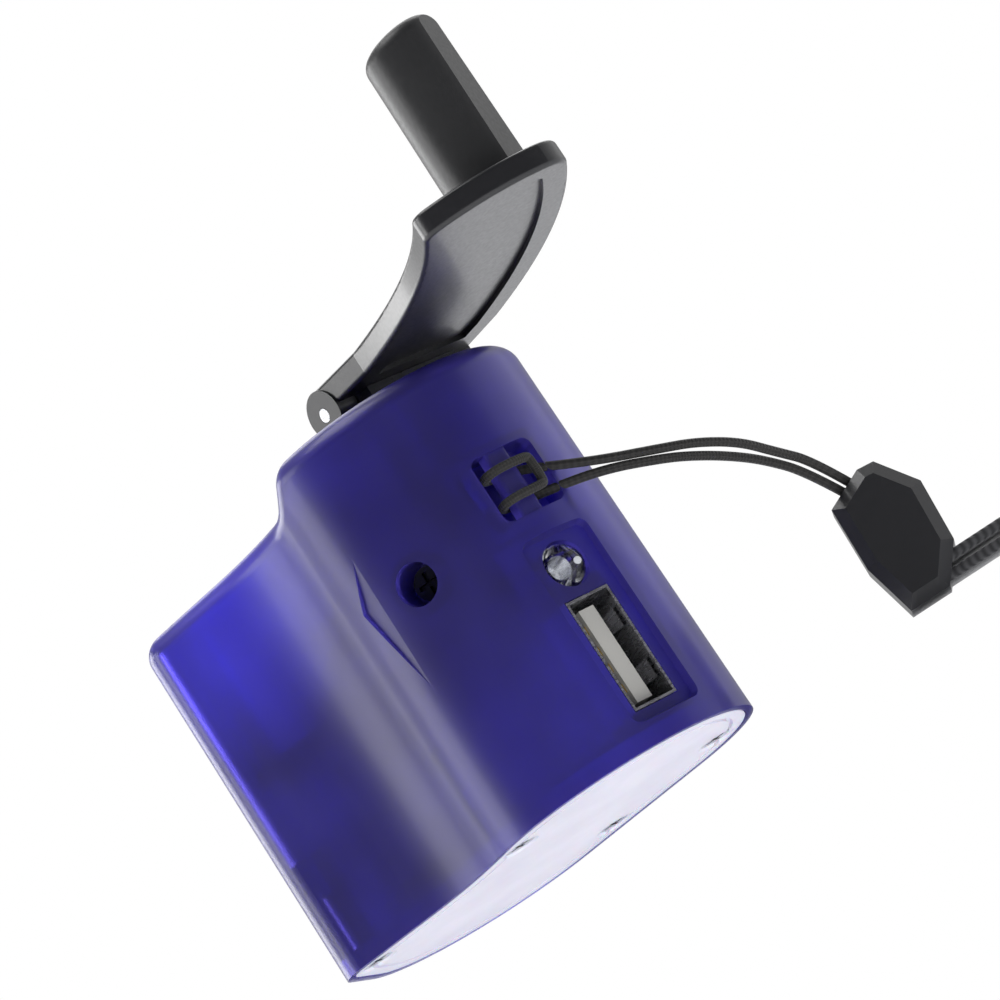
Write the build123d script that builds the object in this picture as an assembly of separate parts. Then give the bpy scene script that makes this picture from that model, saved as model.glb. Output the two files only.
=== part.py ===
"""A hand crank phone charger: a translucent blue housing with a folding crank on top.

The crank turns a vertical shaft. Three pairs of spur gears speed the turn up to a small
generator, whose current goes over a circuit board to a USB socket and a light.

Frame: the origin is where the crank's axis meets the plane that the charger stands on.
+Z is up, +X points to the round nose, and -Y is the waisted side. Sizes are millimetres.
"""
from build123d import *
import math
import os

# ---------------------------------------------------------------- housing plan
NOSE_X, NOSE_Y, NOSE_R = -1.8, -2.4, 16.6      # round nose
REAR_X, REAR_Y, REAR_R = -20.0, 1.2, 16.9      # wide rear lobe
CORNER_R, CORNER_ANGLE = 3.6, -143.28          # tight corner, seen from the rear lobe's centre
CORNER_OUT = 1.92                              # how far the corner stands out of the rear lobe
WAIST_R = 26.0                                 # hollow of the waist
WAIST_SLOPE = -4.0                             # degrees, the flat before the waist
DRAFT = 0.6                                    # degrees, walls lean in towards the top
WALL = 1.8

# ---------------------------------------------------------------- housing heights
HIGH_TOP = 46.2                                # roof over the nose
LOW_TOP = 42.4                                 # roof just behind the step
LOW_SLOPE = 3.0                                # degrees, the low roof falls to the rear
STEP_X = -8.2                                  # where the high roof ends
STEP_RUN = 2.8                                 # length of the step's slope
STEP_CREST_R, STEP_FOOT_R = 3.4, 3.0
TOP_EDGE_R = 2.4
ROOF = 1.8
COVER_T = 2.0
COVER_LIP = 0.9                                # rim of the housing round the cover
COVER_FIT = 0.12
COVER_GROOVE_INSET, COVER_GROOVE_W, COVER_GROOVE_DEPTH = 2.5, 0.5, 0.4

# ---------------------------------------------------------------- gears
MODULE = 0.5
SHIFT = 0.35                                   # profile shift: pinions plus, wheels minus
PRESSURE = 20.0                                # degrees
BACKLASH = 0.10
ADDENDUM, DEDENDUM = 0.9, 1.25                 # in modules
DRIVE_TEETH, FIRST_TEETH, SECOND_TEETH, PINION_TEETH = 40, 32, 26, 10
GEAR_T = 3.2
HUB_R, DRIVE_HUB_R = 1.7, 4.2
DRIVE_PIN_R, DRIVE_PIN_Z = 0.5, 36.2
GEAR_GAP = 0.8                                 # between one gear level and the next
FIRST_ANGLE = 198.0                            # degrees, from the shaft to the first axle
GENERATOR_X, GENERATOR_Y = -22.5, 1.0

# ---------------------------------------------------------------- gear plate
PLATE_Z, PLATE_T = 21.6, 1.6
PLATE_PAD_R, PLATE_SHAFT_R = 2.3, 5.0          # its outline round the posts and the shaft
PLATE_EDGE_GAP = 0.8                           # between the plate's edge and the walls
PLATE_SCREW_L, SCREW_HOLE_MORE = 8.1, 0.5      # the screw's length, and how far its hole goes on
# The plate's posts: an angle or a share along the wall, and the inset from its outside
NOSE_POST, FAR_POST, REAR_POST = (-63.4, 5.42), (0.418, 4.76), (142.9, 4.48)
CORNER_POST = (1.8, 0.9)                       # shift from the corner's centre
POST_R = 2.1
SCREW_R = 0.88                                 # shank of every small screw
SCREW_FIT = 0.02
SCREW_HEAD_R, SCREW_HEAD_T = 1.8, 1.2
LUG_T, LUG_W, LUG_H = 1.2, 4.0, 6.2            # upright lug that takes the side screw

# ---------------------------------------------------------------- shafts and axles
SHAFT_R = 2.0
SHAFT_END = 20.1
AXLE_R = 0.75
RUN_FIT = 0.05                                 # radial clearance where a piece turns
HOLD_FIT = 0.01                                # radial clearance where a piece is held
BUSH_R, BUSH_FLANGE_R, BUSH_FLANGE_T = 3.3, 4.5, 1.0
BUSH_END = 37.4
THRUST_GAP = 0.3
CLIP_R, CLIP_T, CLIP_GROOVE = 3.2, 0.6, 0.4

# ---------------------------------------------------------------- generator
CAN_R, CAN_WALL, CAN_Z, CAN_TOP_T = 8.5, 0.8, 5.0, 1.0
END_CAP_T, END_CAP_SPIGOT = 1.4, 1.2
ROTOR_SHAFT_R = 1.0
MAGNET_T, MAGNET_SPAN = 1.8, 150.0
MAGNET_OVER = 1.2                              # past the armature at both ends
ARMATURE_GAP = 0.4
ARMATURE_Z, ARMATURE_H = 9.6, 8.0
CORE_R, SHOE_T, SPOKE_T, POLE_GAP = 2.2, 0.9, 1.6, 1.8
COIL_OVER, COIL_IN, COIL_OUT, COIL_W, COIL_RING_R = 0.9, 2.6, 4.15, 3.8, 3.0
COIL_FIT = 0.05
GENERATOR_SCREW_R, GENERATOR_SCREW_ANGLE = 5.0, 120.0
COMMUTATOR_Z = 6.4
BRUSH_OUT, BRUSH_T, BRUSH_W, BRUSH_BOTTOM, BRUSH_TOP = 2.5, 0.3, 2.0, 2.4, 8.2
TERMINAL_OUT = BRUSH_OUT + BRUSH_T / 2

# ---------------------------------------------------------------- crank
HINGE_ANGLE = 62.0                             # degrees from +X to the hinge pin's axis
HINGE_Z = 49.3
PIN_R = 0.75
KNUCKLE_R = 2.7
KNUCKLE_NEAR, KNUCKLE_FAR = -5.6, 8.2          # ends of the knuckle along the hinge
KNUCKLE_HALF_W, STOP_REACH, STOP_T = 2.6, 4.2, 1.3
SHAFT_TOP = 50.9
EAR_GAP, EAR_T = 0.2, 2.6
ARM_T, ARM_ROOT = 2.7, 3.1
ARM_RECESS, ARM_RIM, ARM_RECESS_START = 0.5, 3.0, 6.5
ARM_EDGE_R = 0.5
# Corners and middles of the arm's edges, along and across the arm
ARM_NEAR = [(8.2, -7.6), (26.5, -12.4), (43.4, -21.6)]
ARM_TIP = [(43.4, -21.6), (49.4, -14.8), (51.0, -6.8)]
ARM_FAR = [(51.0, -6.8), (31.0, 4.8), (9.7, 10.8)]
GRIP_E, GRIP_T = 42.9, -9.8                    # grip's place along and across the arm
GRIP_R, GRIP_TIP_R, GRIP_LENGTH, GRIP_GAP = 4.6, 4.35, 18.2, 0.4
GRIP_FLAT, GRIP_FLAT_ANGLE = 3.9, 0.0          # distance and direction of the grip's flat
GRIP_END_SLOPE, GRIP_END_R = 10.0, 1.4         # the grip's end falls away from its flat
GRIP_AXLE_R, GRIP_AXLE_DEPTH = 1.25, 1.4
GRIP_HEAD_R, GRIP_HEAD_T, GRIP_HEAD_DROP = 2.2, 1.0, 4.2
GRIP_CAP_R, GRIP_CAP_T = 2.8, 2.4

# ---------------------------------------------------------------- socket column
COLUMN_ANGLE = -33.0                           # degrees from +X, seen from the nose's centre
POCKET_FLOOR = NOSE_R - 1.7                    # distance of the pocket's floor from there
POCKET_W, POCKET_BOTTOM, POCKET_TOP = 8.4, 2.9, 24.2
POCKET_FLARE = 14.0                            # degrees, the pocket's sides open outwards
PAD_T = 2.0
USB_Z = 10.7
USB_LONG, USB_SHORT, USB_WALL, USB_DEPTH = 13.1, 5.7, 0.3, 14.0
TONGUE_LONG, TONGUE_T, TONGUE_SIDE = 11.1, 2.0, 1.6
TONGUE_BASE, TONGUE_BACK = 3.8, 1.5            # its rear block, and how far it sits back
TONGUE_INSET = 0.05                            # the rear block's clearance in the shell
CONTACT_BACK = 0.5                             # from the tongue's end to the contacts
CONTACT_W, CONTACT_T = 1.0, 0.2
CONTACT_Z = [-3.5, -1.0, 1.0, 3.5]
LED_Z, LED_R, LED_FLANGE_R = 21.0, 2.5, 2.9
LED_APEX = NOSE_R - 0.4
LED_BACK = LED_APEX - 8.6
LED_PITCH, LEAD_R = 2.54, 0.25
FIT = 0.1

# ---------------------------------------------------------------- circuit board
BOARD_T, BOARD_OUT, BOARD_L, BOARD_TOP = 1.2, NOSE_R - 4.2, 22.4, 19.4
LEAD_Z, LEAD_BEND = 18.3, 0.5
LEAD_TURNS = (1.6, 3.4)                        # how far behind the light each lead turns down
# Radius, height off the board, height above the floor, distance back from the board's end
CAPACITOR = (3.0, 8.0, 13.0, 17.4)
INDUCTOR = (2.9, 3.0, 13.5, 8.4)
REGULATOR_T, REGULATOR_Z, REGULATOR_SIZE, REGULATOR_BACK = 1.5, 4.5, (5.0, 4.0), 10.9
DIODE_T, DIODE_Z, DIODE_SIZE, DIODE_BACK = 1.1, [5.0, 8.5, 12.0, 15.5], (3.2, 2.0), 4.4
WIRE_R, WIRE_Z, WIRE_BEND, WIRE_REACH = 0.45, 2.95, 1.2, 2.6
# Each wire's way under the generator, and its height and place on the board
RED_WAY, RED_PAD = [(-14.0, 3.2, WIRE_Z), (-9.6, 1.9, 5.0)], (10.0, 19.4)
BLACK_WAY, BLACK_PAD = [(-14.0, -1.3, WIRE_Z), (-9.0, -1.0, 3.8)], (6.2, 16.6)

# ---------------------------------------------------------------- side screw hole
HOLE_ANGLE, HOLE_Z, HOLE_R, HOLE_WALL = -87.0, 27.0, 2.3, 1.0
HOLE_FLOOR, HOLE_FLOOR_T = NOSE_R - 5.2, 1.8

# ---------------------------------------------------------------- crease in the nose's wall
# Angles from the nose's centre and heights of its top, its corner and its foot
CREASE = [(-103.3, 33.1), (-113.1, 28.0), (-103.6, 17.4)]
CREASE_DEPTH = 0.45                            # at the corner

# ---------------------------------------------------------------- lanyard
WINDOW_Z, WINDOW_W, WINDOW_H, WINDOW_FLOOR = 30.8, 8.0, 7.6, NOSE_R - 4.0
CUP_WALL = 1.2
BAR_LEFT, BAR_RIGHT, BAR_IN, BAR_OUT = -1.9, 0.9, NOSE_R - 2.4, NOSE_R - 0.7
CORD_D = 1.0
HITCH_RISE = 3.4                               # from the lower turn to the upper one
CORD_FIT = 0.05
UPPER_STRAND = [
    (17.5, -5.8, 28.6), (22.5, -1.6, 26.4), (25.2, 1.6, 25.2), (27.6, 5.8, 23.3),
    (28.6, 10.5, 21.1), (29.9, 15.3, 18.7), (31.6, 19.3, 13.0),
]
LOWER_STRAND = [
    (17.5, -5.7, 27.5), (22.4, -1.7, 25.3), (24.4, 0.8, 24.1), (26.0, 5.1, 22.7),
    (27.2, 9.9, 21.1), (28.9, 14.9, 18.0), (30.7, 18.9, 12.4),
]
# The end piece, seen from the front: its plane's place, its level direction, its outline
CAP_AT, CAP_ALONG = (6.3, 9.16), (0.9296, 0.3685)
CAP_OUTLINE = [
    (22.9, 13.5), (27.4, 15.6), (29.3, 15.4), (32.3, 11.0), (31.8, 4.0), (28.8, 0.1),
    (24.0, 0.1), (22.6, 6.2),
]
CAP_T, CAP_BEVEL = 7.4, 1.3
STRAP_START, STRAP_END, STRAP_W, STRAP_H, STRAP_T = 29.0, 86.0, 4.6, 2.8, 1.1
STRAP_BOTTOM = 0.5

# ---------------------------------------------------------------- cover screws
COVER_POST_R, COVER_POST_TOP = 2.2, 13.0
COVER_POST_INSET = 3.7                         # from a wall's outside to the post beside it
COVER_NOSE_ANGLES = [47.5, -127.0]
COVER_FAR_SHARE = 0.6
COVER_CORNER_SHIFT = (0.2, 0.1)
COVER_SCREW_L = 8.0

parts = {}


def keep(name, shape):
    """Keep a finished piece under its node's name."""
    parts[name] = shape
    return shape


def rod(radius, bottom, top, at=(0, 0)):
    """An upright cylinder from one height to another."""
    return Pos(at[0], at[1], bottom) * Cylinder(
        radius, top - bottom, align=(Align.CENTER, Align.CENTER, Align.MIN)
    )


def tube(outer, inner, bottom, top, at=(0, 0)):
    """An upright tube."""
    return rod(outer, bottom, top, at) - rod(inner, bottom - 1, top + 1, at)


def block(x0, x1, y0, y1, z0, z1):
    """A box between two corners."""
    return Pos(x0, y0, z0) * Box(x1 - x0, y1 - y0, z1 - z0, align=(Align.MIN,) * 3)


# ================================================================ housing plan
def unit(angle):
    """A unit vector in plan at an angle in degrees."""
    return Vector(math.cos(math.radians(angle)), math.sin(math.radians(angle)))


def tangent_normal(a, ra, b, rb, side):
    """Outward normal of the line that touches two circles on one side of a to b."""
    span = b - a
    lean = math.degrees(math.acos((ra - rb) / span.length))
    return unit(math.degrees(math.atan2(span.Y, span.X)) + side * lean)


NOSE, REAR = Vector(NOSE_X, NOSE_Y), Vector(REAR_X, REAR_Y)
CORNER = REAR + unit(CORNER_ANGLE) * (REAR_R - CORNER_R + CORNER_OUT)
FAR_WAY = tangent_normal(NOSE, NOSE_R, REAR, REAR_R, -1)


def beside_nose(angle, inset):
    """A place inside the nose's wall."""
    at = NOSE + unit(angle) * (NOSE_R - inset)
    return (at.X, at.Y)


def beside_rear(angle, inset):
    """A place inside the rear lobe's wall."""
    at = REAR + unit(angle) * (REAR_R - inset)
    return (at.X, at.Y)


def beside_far(share, inset):
    """A place inside the straight far wall, at a share of the way from nose to rear."""
    radius = NOSE_R + (REAR_R - NOSE_R) * share
    at = NOSE + (REAR - NOSE) * share + FAR_WAY * (radius - inset)
    return (at.X, at.Y)


def in_corner(x, y):
    """A place near the corner's centre."""
    return (CORNER.X + x, CORNER.Y + y)


POSTS = [
    beside_nose(*NOSE_POST), beside_far(*FAR_POST), in_corner(*CORNER_POST),
    beside_rear(*REAR_POST),
]
COVER_SCREWS = [
    beside_nose(COVER_NOSE_ANGLES[0], COVER_POST_INSET),
    beside_nose(COVER_NOSE_ANGLES[1], COVER_POST_INSET),
    in_corner(*COVER_CORNER_SHIFT),
    beside_far(COVER_FAR_SHARE, COVER_POST_INSET),
]


def plan(inset=0.0):
    """The housing's outline, moved inwards by inset, as a face at z = 0."""
    nose, rear, corner, far = NOSE, REAR, CORNER, FAR_WAY
    back = tangent_normal(rear, REAR_R, corner, CORNER_R, -1)
    flat = unit(WAIST_SLOPE)
    out = Vector(flat.Y, -flat.X)
    # the waist's centre touches both the flat's line and the nose's circle
    base = corner + out * (CORNER_R + WAIST_R) - nose
    along = base.dot(flat)
    run = -along - math.sqrt(along**2 - base.dot(base) + (NOSE_R + WAIST_R) ** 2)
    waist = nose + base + flat * run
    to_nose = (nose - waist).normalized()

    nose_r, rear_r = NOSE_R - inset, REAR_R - inset
    corner_r, waist_r = CORNER_R - inset, WAIST_R + inset
    nose_in = nose - to_nose * nose_r
    nose_out = nose + far * nose_r
    rear_in, rear_out = rear + far * rear_r, rear + back * rear_r
    corner_in, corner_out = corner + back * corner_r, corner + out * corner_r
    waist_in, waist_out = waist - out * waist_r, waist + to_nose * waist_r
    edges = [
        ThreePointArc(nose_in, nose + unit(COLUMN_ANGLE) * nose_r, nose_out),
        Line(nose_out, rear_in),
        ThreePointArc(rear_in, rear + (far + back).normalized() * rear_r, rear_out),
        Line(rear_out, corner_in),
        ThreePointArc(corner_in, corner + (back + out).normalized() * corner_r, corner_out),
        Line(corner_out, waist_in),
        ThreePointArc(waist_in, waist + (to_nose - out).normalized() * waist_r, waist_out),
    ]
    return make_face(Wire(edges))


def roof_profile(drop=0.0):
    """The side view of the roof, lowered by drop, as a slab across the whole width."""
    reach = 60.0
    foot_x = STEP_X - STEP_RUN
    fall = math.tan(math.radians(LOW_SLOPE)) * (reach + foot_x)
    line = FilletPolyline(
        (reach, HIGH_TOP - drop),
        (STEP_X, HIGH_TOP - drop),
        (foot_x, LOW_TOP - drop),
        (-reach, LOW_TOP - fall - drop),
        radius=[STEP_CREST_R, STEP_FOOT_R],
    )
    rest = Polyline(line @ 1, (-reach, -1), (reach, -1), line @ 0)
    side = make_face(Wire(line.edges() + rest.edges()))
    return Pos(0, reach, 0) * extrude(Rot(90, 0, 0) * side, amount=2 * reach, dir=(0, -1, 0))


def lean(inset, height):
    """The plan raised to a height, with its walls leaning in by the draft."""
    return extrude(plan(inset), amount=height, taper=DRAFT)


def column_plane(distance, angle=COLUMN_ANGLE, z=0.0):
    """A plane that faces outwards from the nose's centre: local x along the wall, y up."""
    out = unit(angle)
    at = Vector(NOSE_X, NOSE_Y, z) + out * distance
    return Plane(origin=at, x_dir=(-out.Y, out.X, 0), z_dir=out)


def column_block(side0, side1, z0, z1, near, far, angle=COLUMN_ANGLE):
    """A box in the socket column's own directions."""
    plane = column_plane(near, angle)
    sketch = plane * Pos((side0 + side1) / 2, (z0 + z1) / 2) * Rectangle(side1 - side0, z1 - z0)
    return extrude(sketch, amount=far - near, dir=plane.z_dir)


def column_rod(radius, side, z, near, far, angle=COLUMN_ANGLE):
    """A cylinder along the socket column's outward direction."""
    plane = column_plane(near, angle)
    return extrude(plane * Pos(side, z) * Circle(radius), amount=far - near, dir=plane.z_dir)


# ================================================================ gear places
def pitch_r(teeth):
    return MODULE * teeth / 2


def tip_r(teeth, shift):
    return MODULE * (teeth / 2 + shift + ADDENDUM)


SHAFT = Vector(0, 0)
GENERATOR = Vector(GENERATOR_X, GENERATOR_Y)
FIRST = SHAFT + unit(FIRST_ANGLE) * (pitch_r(DRIVE_TEETH) + pitch_r(PINION_TEETH))


def second_axle():
    """The second axle meets both the first gear and the generator's pinion."""
    to_first = pitch_r(FIRST_TEETH) + pitch_r(PINION_TEETH)
    to_generator = pitch_r(SECOND_TEETH) + pitch_r(PINION_TEETH)
    span = GENERATOR - FIRST
    along = (to_first**2 - to_generator**2 + span.length**2) / (2 * span.length)
    aside = math.sqrt(to_first**2 - along**2)
    way = span.normalized()
    return FIRST + way * along + Vector(way.Y, -way.X) * aside


SECOND = second_axle()
PLATE_TOP = PLATE_Z + PLATE_T
LEVEL_3 = PLATE_TOP + GEAR_GAP
LEVEL_2 = LEVEL_3 + GEAR_T + GEAR_GAP
LEVEL_1 = LEVEL_2 + GEAR_T + GEAR_GAP
GEARS_TOP = LEVEL_1 + GEAR_T


def tooth_flank(teeth, shift, radius):
    """Half of a tooth's width at a radius, as an angle in radians."""
    base = pitch_r(teeth) * math.cos(math.radians(PRESSURE))
    press = math.radians(PRESSURE)
    half = (math.pi / 2 + 2 * shift * math.tan(press) - BACKLASH / 2 / MODULE) / teeth
    here = math.acos(min(1.0, base / radius))
    return half + (math.tan(press) - press) - (math.tan(here) - here)


def gear_face(teeth, shift, phase):
    """The outline of a spur gear, with one tooth centred on the phase angle in radians."""
    base = pitch_r(teeth) * math.cos(math.radians(PRESSURE))
    tip = tip_r(teeth, shift)
    root = MODULE * (teeth / 2 + shift - DEDENDUM)
    start = max(base, root) + 0.005
    middle = (start + tip) / 2
    pitch = 2 * math.pi / teeth

    def spot(radius, angle):
        return (radius * math.cos(angle), radius * math.sin(angle))

    edges = []
    for tooth in range(teeth):
        centre = phase + tooth * pitch
        flank = [(r, tooth_flank(teeth, shift, r)) for r in (start, middle, tip)]
        left = [spot(r, centre + a) for r, a in flank]
        right = [spot(r, centre - a) for r, a in flank]
        foot_a, foot_b = centre + flank[0][1], centre + pitch - flank[0][1]
        edges.append(ThreePointArc(*right))
        edges.append(ThreePointArc(right[2], spot(tip, centre), left[2]))
        edges.append(ThreePointArc(*reversed(left)))
        if root < start - 0.01:
            edges.append(Line(left[0], spot(root, foot_a)))
            edges.append(
                ThreePointArc(spot(root, foot_a), spot(root, centre + pitch / 2), spot(root, foot_b))
            )
            edges.append(Line(spot(root, foot_b), spot(start, foot_b)))
        else:
            edges.append(
                ThreePointArc(left[0], spot(start, centre + pitch / 2), spot(start, foot_b))
            )
    return make_face(Wire(edges))


def meshed_phase(driver, driver_at, driver_phase, teeth, at):
    """The phase that puts a gap of the follower on each tooth of its driver."""
    way = at - driver_at
    line = math.atan2(way.Y, way.X)
    return line + math.pi - (driver_phase - line) * driver / teeth + math.pi / teeth


def gear(teeth, shift, phase, bottom, at, height=GEAR_T):
    """A spur gear as a solid disc of teeth."""
    return Pos(at.X, at.Y, bottom) * extrude(gear_face(teeth, shift, phase), amount=height)


# ================================================================ housing
def boss_for_axle(at, bottom):
    """A boss under the roof with a blind hole for an axle's upper end."""
    return rod(POST_R, bottom, HIGH_TOP, at)


AXLE_TOP_1 = GEARS_TOP + GEAR_GAP + 2.0
AXLE_TOP_2 = LEVEL_1 + GEAR_GAP + 2.0


def cover_posts():
    """Posts beside the walls that take the cover's screws."""
    solid = rod(COVER_POST_R, COVER_T, COVER_POST_TOP, COVER_SCREWS[0])
    for at in COVER_SCREWS[1:]:
        solid += rod(COVER_POST_R, COVER_T, COVER_POST_TOP, at)
    return solid


def hanging_posts():
    """Posts under the roof for the gear plate, and bosses for the shaft and the axles."""
    solid = rod(BUSH_R + 1.7, BUSH_END + 1.0, HIGH_TOP)
    for at in POSTS:
        solid += rod(POST_R, PLATE_TOP, HIGH_TOP, at)
    solid += boss_for_axle((FIRST.X, FIRST.Y), GEARS_TOP + GEAR_GAP)
    solid += boss_for_axle((SECOND.X, SECOND.Y), LEVEL_1 + GEAR_GAP)
    return solid


def pads():
    """Thick places inside the nose behind the socket pocket, the window and the side hole."""
    half = POCKET_W / 2 + 1.8
    solid = column_block(-half, half, COVER_T, POCKET_TOP + 1.3, POCKET_FLOOR - PAD_T, NOSE_R)
    cup = WINDOW_W / 2 + CUP_WALL
    low, high = WINDOW_Z - WINDOW_H / 2 - CUP_WALL, WINDOW_Z + WINDOW_H / 2 + CUP_WALL
    solid += column_block(-cup, cup, low, high, WINDOW_FLOOR - CUP_WALL, NOSE_R)
    solid += column_rod(
        HOLE_R + HOLE_WALL, 0, HOLE_Z, HOLE_FLOOR - HOLE_FLOOR_T, NOSE_R, HOLE_ANGLE
    )
    return solid


def pocket():
    """The flared pocket round the socket and the light."""
    plane = column_plane(POCKET_FLOOR)
    tall = POCKET_TOP - POCKET_BOTTOM
    middle = (POCKET_TOP + POCKET_BOTTOM) / 2
    sketch = plane * Pos(0, middle) * RectangleRounded(POCKET_W, tall, 0.8)
    return extrude(sketch, amount=4.0, dir=plane.z_dir, taper=-POCKET_FLARE)


def crease():
    """What a slanting facet takes off the nose's wall: flush at its right, deep at its corner."""
    top, corner, foot = [
        Vector(NOSE_X, NOSE_Y, z)
        + unit(angle) * (NOSE_R - z * math.tan(math.radians(DRAFT)) - depth)
        for (angle, z), depth in zip(CREASE, (0, CREASE_DEPTH, 0))
    ]
    right = ((top + foot) * 0.5 - corner).normalized()
    top += (top - corner).normalized() * CREASE_DEPTH
    foot += (foot - corner).normalized() * CREASE_DEPTH
    facet = make_face(Polyline(top, corner, foot, foot + right, top + right, close=True))
    out = (top - corner).cross(foot - corner).normalized()
    if out.dot(unit(CREASE[1][0])) < 0:
        out *= -1
    return extrude(facet, amount=3 * CREASE_DEPTH, dir=out)


def window_bar():
    """The upright bar in the lanyard window."""
    low, high = WINDOW_Z - WINDOW_H / 2 - 0.5, WINDOW_Z + WINDOW_H / 2 + 0.5
    bar = column_block(BAR_LEFT, BAR_RIGHT, low, high, BAR_IN, BAR_OUT)
    return fillet(bar.edges().filter_by(Axis.Z), 0.4)


def window_cut():
    """The lanyard window's recess, clear of its bar."""
    plane = column_plane(WINDOW_FLOOR)
    sketch = plane * Pos(0, WINDOW_Z) * RectangleRounded(WINDOW_W, WINDOW_H, 1.0)
    return extrude(sketch, amount=6.0, dir=plane.z_dir) - window_bar()


def make_housing():
    """The shell with its posts, pads and openings."""
    outer = lean(0, HIGH_TOP + 2) & roof_profile()
    rim = [e for e in outer.edges() if on_top(e)]
    outer = fillet(rim, TOP_EDGE_R)
    cavity = lean(WALL, HIGH_TOP + 2) & roof_profile(ROOF)
    inside = (hanging_posts() + cover_posts() + pads()) & cavity
    shell = outer - cavity + inside
    shell -= extrude(plan(COVER_LIP), amount=COVER_T)
    shell -= pocket()
    shell -= window_cut()
    shell -= crease()
    shell -= column_rod(HOLE_R, 0, HOLE_Z, HOLE_FLOOR, NOSE_R + 2, HOLE_ANGLE)
    shell -= column_rod(
        SCREW_R + SCREW_FIT, 0, HOLE_Z, HOLE_FLOOR - HOLE_FLOOR_T - 1, HOLE_FLOOR + 1, HOLE_ANGLE
    )
    long, short = USB_LONG / 2 + FIT, USB_SHORT / 2 + FIT
    shell -= column_block(
        -short, short, USB_Z - long, USB_Z + long, POCKET_FLOOR - PAD_T - 1, NOSE_R
    )
    shell -= column_rod(LED_R + FIT, 0, LED_Z, POCKET_FLOOR - PAD_T - 1, NOSE_R)
    shell -= rod(SHAFT_R + 0.5, BUSH_END, HIGH_TOP + 1)
    shell -= rod(BUSH_R + HOLD_FIT, BUSH_END - 1, HIGH_TOP + 1)
    shell -= rod(BUSH_FLANGE_R + HOLD_FIT, HIGH_TOP - BUSH_FLANGE_T, HIGH_TOP + 1)
    for at in POSTS:
        end = PLATE_Z + PLATE_SCREW_L + SCREW_HOLE_MORE
        shell -= rod(SCREW_R + SCREW_FIT, PLATE_TOP - 1, end, at)
    for at in COVER_SCREWS:
        shell -= rod(SCREW_R + SCREW_FIT, COVER_T - 1, COVER_SCREW_L + SCREW_HOLE_MORE, at)
    for at, top in ((FIRST, AXLE_TOP_1), (SECOND, AXLE_TOP_2)):
        shell -= rod(AXLE_R + HOLD_FIT, top - 3, top + 0.1, (at.X, at.Y))
    return keep("housing", shell)


def on_top(edge):
    """Whether an edge belongs to the roof's outline, above the leaning walls."""
    box = edge.bounding_box()
    flat = box.size.Z < 0.9 * edge.length
    return flat and edge.center().Z > LOW_TOP - 6 and not is_across(edge)


def is_across(edge):
    """Whether an edge runs straight across the roof, along the step."""
    box = edge.bounding_box()
    return box.size.X < 0.01 and box.size.Z < 0.01


def make_cover():
    """The bottom cover, with a fine groove round its face and countersunk screw holes."""
    cover = extrude(plan(COVER_LIP + COVER_FIT), amount=COVER_T)
    groove = extrude(plan(COVER_GROOVE_INSET), amount=COVER_GROOVE_DEPTH)
    groove -= extrude(plan(COVER_GROOVE_INSET + COVER_GROOVE_W), amount=COVER_GROOVE_DEPTH)
    cover -= groove
    for at in COVER_SCREWS:
        cover -= rod(SCREW_R + FIT, -1, COVER_T + 1, at)
        cover -= Pos(at[0], at[1], COVER_T / 4) * Cone(
            SCREW_HEAD_R + FIT + COVER_T / 4, SCREW_R + FIT, COVER_T / 2 + 0.5,
        )
    return keep("bottom_cover", cover)


def countersunk_screw(at):
    """A cover screw: its head is sunk into the cover's face."""
    head_t = 1.0
    head = Pos(at[0], at[1], 0.2 + head_t / 2) * Cone(SCREW_HEAD_R, SCREW_R, head_t)
    screw = head + rod(SCREW_R, 0.2 + head_t, COVER_SCREW_L, at)
    slot = Pos(at[0], at[1], 0.2) * (Box(2.2, 0.4, 0.8) + Box(0.4, 2.2, 0.8))
    return screw - slot


# ================================================================ gear plate and axles
def make_gear_plate():
    """The plate that carries the generator, the gears' axles and the shaft's lower end."""
    rings = [Pos(*at) * Circle(PLATE_PAD_R) for at in POSTS]
    rings.append(Circle(PLATE_SHAFT_R))
    rings.append(Pos(GENERATOR_X, GENERATOR_Y) * Circle(CAN_R))
    hull = make_hull([ring.edge() for ring in rings])
    plate = Pos(0, 0, PLATE_Z) * extrude(hull, amount=PLATE_T)
    inside = extrude(plan(WALL + PLATE_EDGE_GAP), amount=PLATE_T + 2)
    plate &= Pos(0, 0, PLATE_Z - 1) * inside
    inner = HOLE_FLOOR - HOLE_FLOOR_T
    plate += column_block(
        -LUG_W / 2, LUG_W / 2, PLATE_Z, PLATE_TOP + LUG_H, inner - LUG_T, inner, HOLE_ANGLE
    )
    plate -= column_rod(SCREW_R + SCREW_FIT, 0, HOLE_Z, inner - LUG_T - 1, inner + 1, HOLE_ANGLE)
    plate -= column_block(-3.5, 3.5, PLATE_Z - 1, PLATE_TOP + 1, LED_BACK - 0.6, NOSE_R)
    for at in POSTS:
        plate -= rod(SCREW_R + FIT, PLATE_Z - 1, PLATE_TOP + 1, at)
    plate -= rod(BUSH_R + HOLD_FIT, PLATE_Z - 1, PLATE_TOP + 1)
    plate -= rod(3.0, PLATE_Z - 1, PLATE_TOP + 1, (GENERATOR_X, GENERATOR_Y))
    for at in generator_screw_places():
        plate -= rod(SCREW_R + FIT, PLATE_Z - 1, PLATE_TOP + 1, at)
        plate -= rod(SCREW_HEAD_R + FIT, PLATE_TOP - 0.8, PLATE_TOP + 1, at)
    for at in (FIRST, SECOND):
        plate -= rod(AXLE_R + HOLD_FIT, PLATE_Z - 1, PLATE_TOP + 1, (at.X, at.Y))
    keep("gear_plate", plate)


def generator_screw_places():
    """Where the generator's screws go through the plate."""
    places = []
    for turn in range(3):
        at = GENERATOR + unit(GENERATOR_SCREW_ANGLE * turn + 20) * GENERATOR_SCREW_R
        places.append((at.X, at.Y))
    return places


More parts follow.
